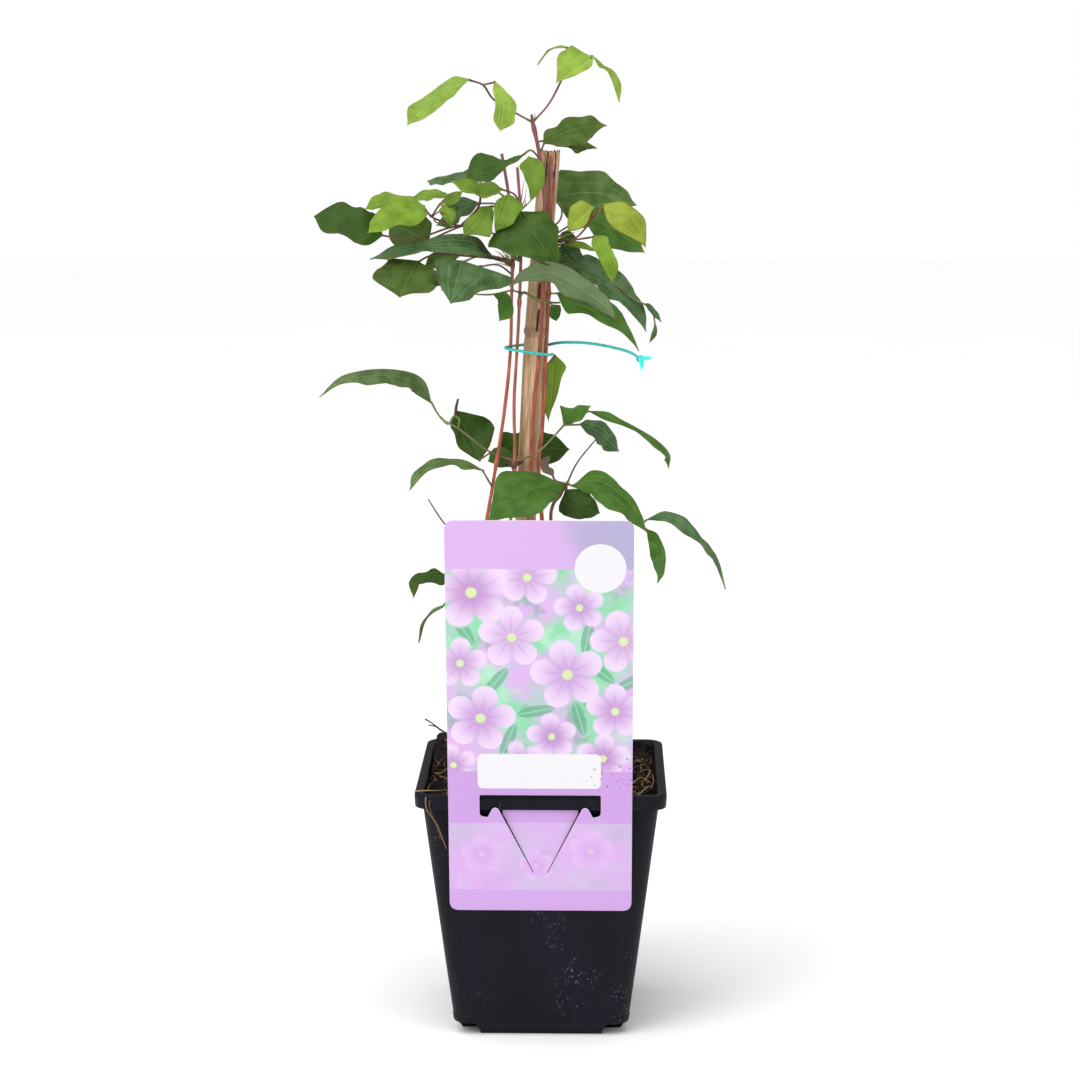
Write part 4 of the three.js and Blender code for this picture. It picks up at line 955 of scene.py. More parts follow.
OUTER = dict(
    low="a8562f", high="9a5870", nodes=[(0.42, 0.5), (0.55, 0.4), (0.84, 0.5)],
    path=[[-24, 9, 105], [-26, 8, 133], [-34, 4, 165], [-38, -2, 200], [-35, -6, 235], [-29, -8, 269],
          [-23.7, -8, 300], [-19.5, -8, 328], [-16.6, -8, 357], [-16, -8, 383], [-15.5, -6, 398],
          [-15.5, -5, 415], [-17.5, -4, 437], [-21, -4, 458]],
    radius=1.05,
    tip_radius=0.8,
    twigs=[
        ("6f7a4c", 0.5, [[-16, -7, 388], [-28, -10, 386], [-52, -16, 389]]),
        ("5a4438", 0.8, [[-42, -6, 421], [-33, -3, 431], [-32, -3, 440]]),
        ("4a2c34", 0.5, [[-35, -6, 243], [-40, -6, 254], [-51.6, -6, 266], [-59.9, -6, 278.7]]),
        # a tendril that has curled round nothing
        ("6f6a48", 0.5, [[-47, -9, 420], [-49.5, -12, 427], [-53, -12.5, 428.6], [-56, -12, 426],
         [-54, -12, 423], [-50.5, -11.5, 424.5], [-50, -11, 428]]),
    ],
    shoots=[([-15.5, -5, 414], [-0.3, -0.2, 0.9], 5, 12), ([-16, -6.5, 400], [-0.6, -0.3, 0.7], 7, 12)],
    leaves=[
        # low pair at the left of the label
        leaf("deep", [[-34, -6.4, 243], [-44, -14, 245]], [[-50, -20, 241], [-60, -26, 241],
             [-67, -30, 239], [-66, -34, 231]], [[8, 8.5, 7.5, 5, 3.5], [4.9, 4, 3.7, 2.1, 0.9]],
             [-0.2, -0.55, 0.8]),
        leaf("sage", [[-34, -6.2, 241], [-45, 4, 229]], [[-53, 8, 219], [-62, 14, 212], [-67, 18, 197]],
             oval(9, 0.35), [-0.6, 0.1, 0.35]),
        # the one that hangs out to the left under the middle
        leaf("dusty", [[-26, -8, 285]], [[-30, -14, 295], [-45, -18, 299.5], [-59, -24, 297],
             [-68, -30, 287]], [[8, 7.5, 6, 3, 1.5], [5.5, 5, 6, 6, 5]], [0, -0.2, 1]),
        leaf("fresh", [[-16, -8, 374]], [[-19, -14, 388], [-20, -17, 381], [-22, -18, 373]],
             [[3.1, 4.7, 6, 6.2, 5], [5.6, 3.3, 3, 2, 1]], [-0.1, -1, 0.25]),
        # the two broad fans at the left, and the long strap over them
        leaf("bluish", [[-15, -6, 403], [-30, -22, 407]], [[-40.4, -31, 405], [-43, -39, 395],
             [-45.8, -43, 384]], [[23.5, 26, 19, 12, 9], [12.4, 12.2, 10.8, 7.7, 3.8]], [0.1, -0.85, 0.6]),
        leaf("old", [[-15, -6, 403], [-37, -14, 406], [-56, -20, 407]], [[-63, -26, 404.5],
             [-68, -32, 395.5], [-72, -35, 386.5]], [[14, 16, 16, 13, 5], [13, 14, 16, 17.2, 15.7]],
             [-0.1, -0.85, 0.6]),
        leaf("bluish", [[-15, -6, 401]], [[-23, -14, 404], [-39, -21, 412], [-57, -26, 412],
             [-74, -27, 409], [-88, -22, 405]], [[9, 9, 7.5, 6, 5], [7.5, 6.3, 6.3, 4, 4.5]],
             [0, -0.55, 0.85]),
        leaf("fresh", [[-15, -6, 403]], [[-40, -2, 407], [-51, 4, 404], [-62, 6, 399]], oval(24, 0.35),
             [0, -0.5, 0.8]),
        # the upper left tuft: one far dark leaf, young ones before it
        leaf("dusk", [[-16, -5, 414], [-42, -6, 421], [-68, -6, 414]], [[-82, -7, 416], [-99, -9, 421],
             [-118, -6, 426]], [[8, 9.6, 7.2, 7.6, 7], [11, 12.6, 12.7, 12.4, 10]], [-0.05, -0.75, 0.65]),
        leaf("lime", [[-42, -6, 421], [-50, -8, 423], [-57, -10, 426]], [[-60, -14, 432], [-74, -25, 429],
             [-88, -34, 419]], [[10, 11.5, 12, 9, 6], [3.4, 4.8, 6.3, 6.5, 4.5]], [-0.1, -0.75, 0.65]),
        leaf("lime", [[-57, -10, 426]], [[-61, -13, 432], [-76, -12, 434.2], [-91, -10, 430]],
             [[5, 6, 6, 6, 5], [4.5, 4.8, 5, 8, 10]], [0, -0.5, 0.85]),
        leaf("lime", [[-57, -10, 426], [-53, -4, 432]], [[-48, 0, 436], [-58, 3, 437], [-68, 6, 435]],
             [[3.3, 5, 6.7, 6.5, 3], [2.6, 3.6, 3.9, 4.1, 3.1]], [0, -0.5, 0.85]),
        leaf("grass", [[-53, -4, 432]], [[-51, -6, 433], [-46, -10, 435], [-41, -12, 439]], oval(7, 0.4),
             [0, -0.9, 0.4]),
        leaf("grass", [[-53, -4, 432]], [[-51, -8, 432], [-48, -12, 427], [-47, -13, 421]], oval(8, 0.35),
             [0.2, -0.9, 0.3]),
        leaf("moss", [[-42, -6, 421], [-53, 0, 416]], [[-59, 2, 412], [-69, 5, 417], [-80, 8, 422]],
             oval(23, 0.45, 0.5), [0.1, -0.8, 0.5]),
        # one that reaches back, behind the fans
        leaf("deep", [[-15.5, -6, 396], [-24, 10, 400]], [[-34, 22, 398], [-48, 34, 395], [-62, 42, 386]],
             oval(23, 0.4), [-0.2, 0.3, 0.9]),
    ],
)

INNER = dict(
    low="a85c38", high="9a5870", nodes=[(0.55, 0.6), (0.8, 0.5), (0.9, 0.5)],
    path=[[-13, -8, 105], [-14, -7, 133], [-16, -7, 200], [-17, -7, 260], [-14.5, -7, 299],
          [-14.8, -7, 329], [-13.2, -8, 357], [-11.9, -7, 382], [-11.2, -5, 405], [-11.5, -4, 430],
          [-13, -3, 451]],
    radius=1,
    tip_radius=0.75,
    twigs=[
        ("5f6c2c", 0.75, [[-12, -7, 384], [-10, -8.5, 387], [-3, -12.5, 384], [6, -11.5, 382],
         [9, -10, 382]]),
        # a brown leaf tip, a bent stalk beside it, and the dark scar of the low node
        ("4a3428", 0.9, [[-46, 7.5, 321], [-45.5, 6.5, 326], [-44.5, 6, 330]]),
        ("6f8c44", 0.7, [[-53, -8, 322], [-49, -7, 318.5], [-46, -6.5, 322.5], [-43.5, -6, 321],
         [-44, -5.6, 315.8]]),
        ("3a2a24", 1.2, [[-16, -7.4, 296], [-12.5, -9, 298], [-10, -9, 299]]),
    ],
    shoots=[([-12, -6, 403], [-0.6, -0.2, 0.8], 12, 12), ([-11.5, -4, 429], [0.2, 0, 0.8], 5, 16),
            ([-14.5, -7, 300], [0.5, -0.4, 0.3], 8, 7)],
    leaves=[
        # the low node: a long leaf out to the left, one before and two behind it
        leaf("dusty", [[-14, -7, 299], [-27, -3, 303], [-44, -6, 316], [-53, -8, 322]], [[-57, -10, 329],
             [-65, -14, 343], [-79, -20, 348], [-97, -26, 346], [-114, -30, 335]], [[7, 10, 11, 8, 1.5],
             [2, 1, 0.5, 1, 2.5]], [0, -0.75, 0.65]),
        leaf("deep", [[-27, -3, 303]], [[-33, 4, 297], [-39, 10, 309], [-46, 8, 324]],
             [[3.7, 6.5, 7.2, 6.3, 5.6], [7.3, 12, 14.8, 12.4, 6.4]], [0.1, -0.95, 0.2]),
        leaf("deep", [[-14, -7, 299], [-20, 2, 297]], [[-24, 9, 299], [-4, 15, 303], [14, 18, 302]],
             [[12, 9.8, 10, 8, 6], [4, 5, 8, 9.5, 7.3]], [0, -0.9, 0.35]),
        leaf("deep", [[-14, -7, 299]], [[-17, 0, 295], [-23, 4, 300], [-29, 6, 297]], oval(12, 0.4),
             [0, -0.7, 0.6]),
        # the low node's right side
        leaf("fresh", [[-14, -7, 299], [-12, -12, 300], [-2, -14, 305], [7, -14, 314]], [[11, -15, 319],
             [17, -19, 325], [25, -22, 330]], [[9.5, 6.3, 3.9, 3.6, 2], [2, 3.8, 5.3, 6, 4]],
             [-0.2, -0.75, 0.6]),
        leaf("misty", [[11, -15, 319]], [[19, -10, 319], [30, -2, 313], [40, 2, 303]], [[4, 6, 7, 6, 3.5],
             [4, 6, 7, 7, 5]], [0.1, -0.75, 0.65]),
        leaf("fresh", [[11, -15, 319]], [[23, -18, 327], [36, -18, 323], [53, -10, 314], [66, -2, 302],
             [66, 0, 294]], [[2.5, 1.5, 1, 1, 0.8], [3, 2.5, 2.5, 5, 5.5]], [0.1, -0.7, 0.7]),
        # across the cane: one turned to show its underside, and the big one above
        leaf("under", [[-12, -7, 387], [-15, -11.5, 388.5]], [[-17, -13, 390.5], [-9, -17, 395.5],
             [4, -22, 398], [20, -26, 390], [33, -27, 381], [38, -26, 374.5]], [[3, 7, 9.5, 9, 6.5],
             [4, 8.5, 8, 8.5, 5]], [0.25, 0.75, 0.62]),
        leaf("deep", [[-11, -5, 416], [-13, -10, 423]], [[-12.5, -13, 429], [-2, -22, 415], [9, -25, 401]],
             [[9.5, 12.5, 12.5, 9.2, 5], [19, 21, 16, 10, 6]], [0.1, -0.92, 0.35]),
        # young leaves round the upper nodes
        leaf("grass", [[-11, -5, 422], [-14, -10, 435]], [[-17, -14, 438], [-20, -20, 429],
             [-24, -22, 419]], [[7.9, 8.9, 8.1, 7.2, 4], [3.2, 5.2, 5, 3.4, 1.8]], [0.1, -0.92, 0.35]),
        leaf("olive", [[-11, -5, 422], [-22, -8, 431]], [[-26, -12, 432], [-33, -20, 424], [-40, -24, 417]],
             [[4, 6.5, 8.7, 10.3, 4.3], [3.7, 4, 4.6, 5.1, 4]], [-0.1, -0.85, 0.5]),
        leaf("bluish", [[-11, -4, 422], [-22, 6, 431]], [[-33, 16, 432], [-45, 26, 427], [-57, 34, 419]],
             [[6.5, 8, 8, 8, 4.5], [3, 6.5, 8, 5, 3]], [0, -0.75, 0.6]),
        leaf("fresh", [[-11.5, -5, 411]], [[-17.6, -9.5, 408.5], [-20.5, -9.6, 412], [-24, -9, 416]],
             oval(4, 0.5), [0, -0.9, 0.4]),
        leaf("lime", [[-11.3, -4, 427], [-14, -8, 437]], [[-20, -8.6, 440], [-33, -9, 440],
             [-47, -10, 444]], oval(17, 0.4), [0, -0.45, 0.9]),
        leaf("misty", [[-11, -4, 429], [-25, 6, 439]], [[-36, 10, 445], [-49, 16, 445], [-61, 22, 443]],
             [[3, 5, 7, 7.5, 6], [6, 5, 3, 2, 1.5]], [0, -0.55, 0.8]),
        # two that reach back, behind the middle and behind the low node
        leaf("deep", [[-11.3, -5, 412], [-12, 6, 418]], [[-9, 14, 417], [-7, 30, 415], [-4, 47, 405]],
             oval(22, 0.4), [0, 0.1, 1]),
        leaf("deep", [[-15, -7, 290], [-18, 4, 286]], [[-12, 12, 283], [-8, 30, 279], [0, 48, 266]],
             oval(21, 0.4), [0, 0.2, 1]),
    ],
)

TOP = dict(
    low="9c4c2a", high="7a4450", nodes=[(0.5, 0.4), (0.94, 0.6), (0.99, 0.4)],
    path=[[-5, -13, 105], [-6, -12, 133], [-9, -10, 200], [-8, -9, 260], [-6, -8.5, 298], [-4.4, -8.6, 329],
          [-1.4, -9, 357], [0, -9, 384], [1, -8.6, 410], [1, -8.2, 435], [-1.8, -8, 459], [-5, -8, 474]],
    radius=1.2,
    tip_radius=1.0,
    twigs=[
        ("5a3848", 0.9, [[-5, -8, 473], [-5.3, -8.2, 475.4], [-5.6, -8.4, 478]]),
    ],
    shoots=[([-5, -8, 473.5], [0, 0, 1], 4, 4)],
    leaves=[
        leaf("pale", [[-5, -8, 474], [-14, -12, 479], [-25, -17, 486], [-30, -20, 493]], [[-36, -21, 496],
             [-51, -25, 488], [-68, -28, 473]], [[2, 5.2, 6, 5.3, 4], [5.7, 5.3, 4.4, 5.6, 7.3]],
             [-0.1, -0.75, 0.6]),
        leaf("pale", [[-30, -20, 493]], [[-24, -23, 495.5], [-19.5, -27, 484], [-21, -28, 470]],
             [[1.8, 3.6, 6.8, 6.1, 6], [2.8, 3.8, 4.1, 4.2, 4]], [0.1, -0.95, 0.25]),
        leaf("pale", [[-5, -8, 474], [3, -7, 483], [9, -5, 494], [15, -5, 508]], [[26, -8, 507],
             [17, -14, 500.5], [7, -19, 494]], [[3.2, 3.3, 2.7, 1.9, 0.9], [9.7, 11.3, 12.1, 10.3, 4.8]],
             [0.15, -0.9, 0.45]),
        leaf("pale", [[15, -5, 508]], [[13, -2, 512], [4, 2, 511], [-3, 4, 503]], [[1.5, 2.2, 2.5, 2.5, 2],
             [2, 3, 2, 1.5, 1]], [-0.2, -0.1, 1]),
        leaf("pale", [[15, -5, 508]], [[25, -1, 508], [34, 5, 499], [39.5, 7, 484]],
             [[0.6, 0.6, 4, 4.4, 3.6], [4.2, 1.8, 0.8, 0.7, 0.5]], [0.5, -0.6, 0.55]),
        leaf("moss", [[-2, -8, 457]], [[0, -3, 463], [15, 6, 470], [33, 14, 472]],
             [[6.7, 5.4, 8.2, 8.2, 7.2], [7, 11.5, 12, 9, 4]], [-0.05, -0.7, 0.7]),
        leaf("moss", [[-2, -8, 459], [-2.5, -4, 463.5]], [[1, 3, 464.5], [14, 14, 463.5], [28, 22, 460]],
             [[5, 6, 6.5, 5.5, 3], [6, 9.5, 9.5, 7, 3]], [0.05, -0.7, 0.7]),
        leaf("grass", [[-1, -8, 455]], [[-7, -12, 457], [-4.5, -16, 446], [-6, -17, 434]],
             [[5.4, 6.2, 6.1, 5, 3.2], [5.9, 5, 4.4, 2.6, 1.2]], [-0.1, -0.97, 0.2]),
        leaf("deep", [[-1, -8, 455], [-6, -11, 460]], [[-9, -12, 458], [-22, -15, 451], [-39, -17, 446]],
             [[1.8, 1.2, 4, 6.7, 4], [2, 3, 9.2, 11.2, 10]], [0.05, -0.75, 0.6]),
    ],
)

RIGHT = dict(
    low="9c4c2a", high="8a4a3c", nodes=[(0.68, 0.4), (0.8, 0.5), (0.88, 0.5)],
    path=[[4, 0, 105], [4, -2, 150], [3, -4, 200], [1, -5, 250], [-2, -6.2, 298], [-0.4, -6.4, 314],
          [1.8, -6.4, 357], [3.2, -6.4, 388], [4.2, -7, 435], [4.2, -7.4, 457]],
    radius=1.2,
    tip_radius=1.0,
    twigs=[],
    shoots=[([6, -6, 413], [0.9, -0.3, 0.2], 16, 15), ([4, -6.5, 400], [0.8, -0.3, 0.5], 8, 12)],
    leaves=[
        leaf("lime", [[1.6, -6.4, 349], [4.5, -3.5, 351]], [[6.2, 0, 354.5], [5.1, 1.5, 338],
             [3, 1.5, 318.6]], [[6.1, 4.3, 3.5, 2.4, 0.9], [4, 3.9, 3.9, 3.9, 3.2]], [0.15, -0.95, 0.15]),
        leaf("fresh", [[3, -6, 383], [3, -8, 386]], [[7, -9, 387], [25, -13, 382], [40, -14, 371],
             [47, -12, 362], [50, -10, 357]], [[8, 9, 8, 5, 2.5], [13, 14, 9.5, 5, 2]], [0.05, -0.6, 0.8]),
        leaf("fresh", [[3, -6, 383]], [[5, 2, 380], [6, 4, 376], [7, 5, 371]], oval(8, 0.3),
             [0.1, -0.95, 0.2]),
        leaf("misty", [[3, -6, 403]], [[13, -1, 401.5], [34, 6, 392.5], [47, 10, 378.5], [54, 12, 365]],
             [[9, 8, 8, 5.5, 5], [10, 10, 10, 5.8, 2.7]], [0.2, -0.7, 0.65]),
        leaf("misty", [[34, 6, 392.5], [48, 9.4, 382]], [[53, 10, 380], [57, 12, 376], [62, 13, 370]],
             oval(5, 0.35), [0.2, -0.6, 0.75]),
        leaf("sage", [[4.2, -6.8, 420], [9, -3, 424], [9.5, 4, 430]], [[4, 12, 435], [26, 20, 437],
             [49, 30, 430]], [[13.8, 13, 12, 10.8, 6.6], [20, 21, 17, 12, 6]], [0.05, -0.85, 0.5]),
        leaf("fresh", [[4, -6, 415], [14, 2, 421]], [[21, 6, 425], [36, 12, 419], [53, 16, 406]],
             [[7, 8, 8, 7, 4], [10, 12, 12, 9, 5]], [-0.1, -0.8, 0.6]),
        leaf("yellow", [[4, -6, 414], [15, -10, 414], [24, -12, 423]], [[27, -14, 431], [20, -18, 426],
             [13, -19, 419]], [[1, 3, 4.4, 4.3, 2.6], [6.9, 8.4, 8.2, 6.2, 3.4]], [0.1, -0.9, 0.4]),
        leaf("yellow", [[24, -12, 423]], [[31, -14, 433], [42, -20, 425], [53, -22, 411]],
             [[5, 7.5, 7.6, 7.5, 4.2], [4.7, 6.8, 6.5, 4.6, 1.7]], [-0.1, -0.9, 0.4]),
        leaf("lime", [[15, -10, 414]], [[26, -14, 417], [31, -19, 407], [36, -20, 393]],
             [[6, 5, 5.5, 6.1, 4.4], [3, 2.8, 2.4, 1.9, 1.4]], [-0.1, -0.95, 0.3]),
        leaf("bluish", [[3.6, -6.4, 400]], [[8, -4, 410], [13, -3, 405], [19, -3, 399]],
             oval(14, 0.45, 0.5), [0.1, -0.9, 0.4]),
        leaf("lime", [[4, -6, 411]], [[9.5, -5, 411.3], [18, -7, 411.5], [27.6, -8, 408.4]], oval(4.5, 0.5),
             [0, -0.7, 0.7]),
        leaf("deep", [[4, -6, 413]], [[9.5, -4, 417.5], [13, -4.5, 415], [16, -5, 411.5]],
             oval(7, 0.5, 0.5), [0.1, -0.9, 0.4]),
        leaf("bluish", [[54, 11, 379]], [[57.6, 12, 375], [58.5, 11.5, 367], [55.6, 11, 359]],
             [[0.4, 0.4, 1.2, 1.8, 1.2], [0.4, 0.4, 0.8, 1, 0.6]], [0.1, -1, 0.2]),
        # one that reaches back, behind the long ones
        leaf("deep", [[3, -5.6, 396], [12, 6, 396]], [[18, 16, 395], [27, 30, 392], [36, 44, 381]],
             oval(23, 0.4), [0.3, 0.2, 0.9]),
    ],
)

FRONT = dict(
    low="8a5038", high="6a5a38", nodes=[(0.96, 0.8)],
    path=[[14, -14, 105], [14, -16, 140], [13, -20, 200], [8, -23, 250], [5, -24, 276], [13, -26, 290]],
    radius=1.2,
    tip_radius=0.9,
    twigs=[
        ("4a2c3c", 0.5, [[13, -26, 290], [18, -22, 300], [28, -16, 312]]),
    ],
    shoots=[([13, -26, 290], [0.1, -0.5, 0.6], 5, 5)],
    leaves=[
        leaf("fresh", [[13, -26, 290]], [[13, -26, 290], [0, -36, 290], [-15, -46, 284], [-27, -52, 274]],
             [[7, 15, 17.5, 17.5, 10], [4, 14.5, 18, 14, 6.7]], [-0.1, -0.6, 0.8]),
        leaf("fresh", [[13, -26, 290]], [[15, -27, 289], [30, -33, 292], [44, -38, 283], [54, -40, 267]],
             [[7.5, 6.5, 4, 3.8, 3], [8, 15, 17, 13, 7]], [0.2, -0.5, 0.85]),
        leaf("deep", [[13, -26, 290]], [[12, -26, 287], [18, -30, 281], [30, -36, 276]],
             [[4.5, 7.5, 9.3, 9, 7.5], [8, 10.5, 9, 6.5, 4]], [0.1, -0.8, -0.4]),
        leaf("fresh", [[13, -26, 290], [35, -22, 280], [51, -26, 269]], [[54, -28, 267], [62, -31, 256],
             [60, -32, 239]], [[3.8, 2.6, 2, 2.8, 3.4], [6, 11, 11.3, 9.5, 2.5]], [0.6, -0.45, 0.3]),
        leaf("misty", [[35, -22, 280], [51, -26, 269]], [[53, -26, 271], [65, -26, 273], [81, -22, 261],
             [91, -14, 246], [96, -10, 232]], [[4, 4.5, 4.5, 4, 2.6], [5.5, 6.5, 5.5, 4.5, 2.6]],
             [0.3, -0.45, 0.8]),
        leaf("withered", [[13, -26, 290], [7, -22, 291]], [[6, -20, 293], [1, -16, 298], [4, -14, 303]],
             oval(7, 0.4), [0.6, -0.6, 0.2]),
    ],
)

STEMS = {"stem_outer": OUTER, "stem_inner": INNER, "stem_top": TOP, "stem_right": RIGHT, "stem_front": FRONT}
for name, stem in STEMS.items():
    leafy_stem(name, stem)

# ---- The label ----
# A printed plastic card that hangs on the pot's rim by a slot. Under the slot a V-shaped cut
# frees a tongue, which is tucked behind the rim.

CARD_WIDTH, CARD_HEIGHT, CARD_THICKNESS, CARD_CORNER = 94, 214, 0.7, 5
CARD_LEAN = math.radians(10.5)
CARD_FOOT = Vector((0, -55.2, 71))
SLOT_HALF, SLOT_TOP, SLOT_NOTCH, NOTCH_HALF, SLOT_ROUND = 31, 65.4, 52.5, 4, 0.8
LUG_X, LUG_Y, LUG_HALF = 23, 58.3, 1.6
TONGUE_HINGE, HINGE_HALF, TONGUE_HALF, TONGUE_SHOULDER, TONGUE_TOP = 21.5, 3, 19.4, 33, 39.5
TONGUE_LEAN, TONGUE_TIP, TIP_NARROWS = math.radians(5.2), 2, 1.6
EDGE = 0.12
# What is printed on it, from its lower edge up.
FOOT_TOP, BAND_LOW, PICTURE_LOW, HEADER_LOW = 11.9, 49.6, 78.7, 188.5
DISC_X, DISC_UP, DISC_RADIUS = 30.4, 188.9, 12.85
PANEL_X, PANEL_UP, PANEL_HALF, PANEL_RISE, PANEL_CORNER = -0.4, 78.8, 28.6, 6.8, 2.8
INK = 0.74


def rounded(corners, steps=6):
    """A closed outline with each corner (x, y, radius) rounded off."""
    points = []
    for before, (x, y, radius), after in zip([corners[-1], *corners], corners, [*corners[1:], corners[0]]):
        here = Vector((x, y))
        back, ahead = (Vector(before[:2]) - here), (Vector(after[:2]) - here)
        opening = back.angle(ahead) / 2
        reach = min(radius / math.tan(opening), back.length * 0.49, ahead.length * 0.49)
        start, end = here + back.normalized() * reach, here + ahead.normalized() * reach
        for step in even(steps):
            points.append(start.lerp(here, step).lerp(here.lerp(end, step), step))
    return points


def slot_corners():
    """The cut's outline: the slot, its notches, the two lugs and the tongue's sides, with their radii."""
    side = [(SLOT_HALF, SLOT_TOP, 1.2), (SLOT_HALF, SLOT_NOTCH + 1, 2.4),
            (SLOT_HALF - NOTCH_HALF, SLOT_NOTCH + 0.2, 1),
            (LUG_X + LUG_HALF, LUG_Y - SLOT_ROUND, 1.2), (LUG_X, LUG_Y, 1.2),
            (LUG_X - LUG_HALF, LUG_Y - SLOT_ROUND, 1), (HINGE_HALF + SLOT_ROUND, TONGUE_HINGE, 0.3)]
    other = [(-x, y, radius) for x, y, radius in reversed(side)]
    return side + other


def hang(point, out=0.0):
    """A point of the flat card (right, up), brought to its place on the pot."""
    x, up = point[0], point[1]
    return (CARD_FOOT + Vector((x, -up * math.sin(CARD_LEAN) - out * math.cos(CARD_LEAN),
                                up * math.cos(CARD_LEAN) - out * math.sin(CARD_LEAN)))) * MM


BLOSSOMS = [
    # right, up, radius, turn, petal colour, softness of its outline
    (-34, 176, 20, 0.4, "d9a5e6", 2.5), (-6, 184, 15, 1.1, "e6bdf3", 2.0), (20, 168, 13, 0.2, "dcb0ee", 2.0),
    (-40, 138, 14, 0.9, "e3b6ef", 1.6), (42, 150, 17, 0.1, "e9c4f6", 1.4), (-14, 152, 17, 0.7, "edc8fa", 0.5),
    (14, 132, 19, 0.3, "e7bcf8", 0.3), (-30, 108, 18, 1.3, "e2b2f4", 0.4), (38, 112, 15, 0.8, "dfaef0", 0.6),
    (6, 98, 13, 0.5, "d8a2ea", 1.2), (-10, 84, 12, 0.1, "e0b4f0", 2.2), (32, 86, 14, 1.0, "d79fe6", 2.4),
    (-44, 82, 12, 0.3, "dda9ea", 2.4),
    (-30, 32, 11, 0.6, "dba6ee", 0.8), (-2, 26, 9, 0.2, "d7a0ea", 0.8), (26, 34, 12, 1.1, "dcaaf0", 0.8),
]
SPRIGS = [(-22, 128, 0.9), (30, 134, -0.7), (-2, 112, 0.2), (24, 152, 1.4), (-38, 156, -1.0), (20, 108, -1.3),
          (-16, 96, 1.2), (46, 128, 0.5)]


def card_paint():
    paint = Paint("printed_card")
    x, up, front = paint.parts(paint.carried("strand"))
    flat = paint.vector(x, up)
    grain = paint.noise(flat, 2.4, 3)
    cloud = paint.noise(flat, 0.028, 3, 0.5)
    other = paint.noise(paint.vector(x + 90, up - 40), 0.05, 3, 0.55)
    scene = paint.mix(cloud.ease(0.38, 0.6), tint("8fe3b0"), tint("e6b9f4"))
    scene = paint.mix(other.ease(0.52, 0.68), scene, tint("b7f0cf"))
    scene = paint.mix(other.ease(0.44, 0.32) * 0.6, scene, tint("6fae8d"))
    for right, high, turn in SPRIGS:
        near, far = math.cos(turn), math.sin(turn)
        along = (x - right) * near + (up - high) * far
        across = (up - high) * near - (x - right) * far
        body = (along * along) / 90 + (across * across) / 9
        scene = paint.mix(body.ease(1.15, 0.8) * 0.75, scene, tint("5fb389"))
        scene = paint.mix(abs(across).ease(0.5, 0.1) * body.ease(1.0, 0.7) * 0.6, scene, tint("b5ecd0"))
    for right, high, size, turn, code, soft in BLOSSOMS:
        over, rise = x - right, up - high
        distance = (over * over + rise * rise) ** 0.5
        angle = paint.node("Math", {"operation": "ARCTAN2"}, {0: rise, 1: over})
        petal = abs((angle * 2.5 + turn).wave())
        edge = (petal ** 0.55) * (0.52 * size) + 0.48 * size
        inside = (distance - edge).ease(soft * 0.5, -soft * 0.5)
        shade = (distance / size).ease(0.1, 0.95)
        fold = (petal.ease(0.0, 0.45) * 0.8 + 0.2) * (grain * 0.2 + 0.9)
        bloom = paint.mix(shade, tint(code, 0.82), tint("f6defd"))
        bloom = paint.mix((1 - fold) * 0.36, bloom, tint("b884cc"))
        midline = petal.ease(0.97, 1.0) * distance.ease(size * 0.9, size * 0.3)
        bloom = paint.mix(midline * 0.45, bloom, tint("c592dc"))
        bloom = paint.mix(distance.ease(size * 0.17, size * 0.11), bloom, tint("dff0b0"))
        scene = paint.mix(inside, scene, bloom)
    lilac = paint.mix(cloud.ease(0.3, 0.7), tint("e0b2ee"), tint("e8c0f4"))
    faint = paint.mix(0.78, scene, tint("e2b2f2"))
    under_picture = up.ease(PICTURE_LOW + 0.2, PICTURE_LOW - 0.2)
    colour = paint.mix(under_picture, scene, lilac)
    colour = paint.mix(up.ease(BAND_LOW - 0.3, BAND_LOW + 0.3) * under_picture, colour, tint("d3a4e8"))
    colour = paint.mix(up.ease(BAND_LOW + 0.3, BAND_LOW - 0.3), colour, faint)
    colour = paint.mix(up.ease(FOOT_TOP + 0.3, FOOT_TOP - 0.3), colour, tint("d8aaec"))
    header = paint.mix((x * 0.8 + up * 0.4 + cloud * 60).ease(112, 146), tint("dfb6ef"), tint("b9b0d8"))
    colour = paint.mix(up.ease(HEADER_LOW - 0.2, HEADER_LOW + 0.2), colour, header)
    disc = ((x - DISC_X) ** 2.0 + (up - DISC_UP) ** 2.0) ** 0.5
    disc = disc.ease(DISC_RADIUS + 0.15, DISC_RADIUS - 0.15)
    colour = paint.mix(disc, colour, tint("f6f4f8"))
    corner_x = (abs(x - PANEL_X) - PANEL_HALF).most(0)
    corner_y = (abs(up - PANEL_UP) - PANEL_RISE).most(0)
    panel = (corner_x * corner_x + corner_y * corner_y) ** 0.5
    panel = panel.ease(PANEL_CORNER + 0.15, PANEL_CORNER - 0.15)
    colour = paint.mix(panel, colour, tint("f8f6fa"))
    dirt = paint.node("TexVoronoi", {"feature": "F1"}, {"Vector": flat, "Scale": 0.42})
    dirty = (dirt + (grain - 0.5) * 0.4).ease(0.24, 0.12) * cloud.ease(0.42, 0.5)
    dirty = dirty * x.ease(16, 34) * up.ease(98, 84) * up.ease(44, 60)
    colour = paint.mix(dirty * 0.85, colour, tint("4a3a34"))
    colour = paint.mix((front - 0.5).ease(0.1, -0.1), colour, tint("f2eef4"))
    colour = paint.mix(1.0, colour, (INK, INK, INK), "MULTIPLY")
    dents = paint.noise(flat, 0.35, 2)
    return paint.surface(colour, grain * 0.08 + 0.26, paint.bump(dents, 0.1 * MM, 0.3))


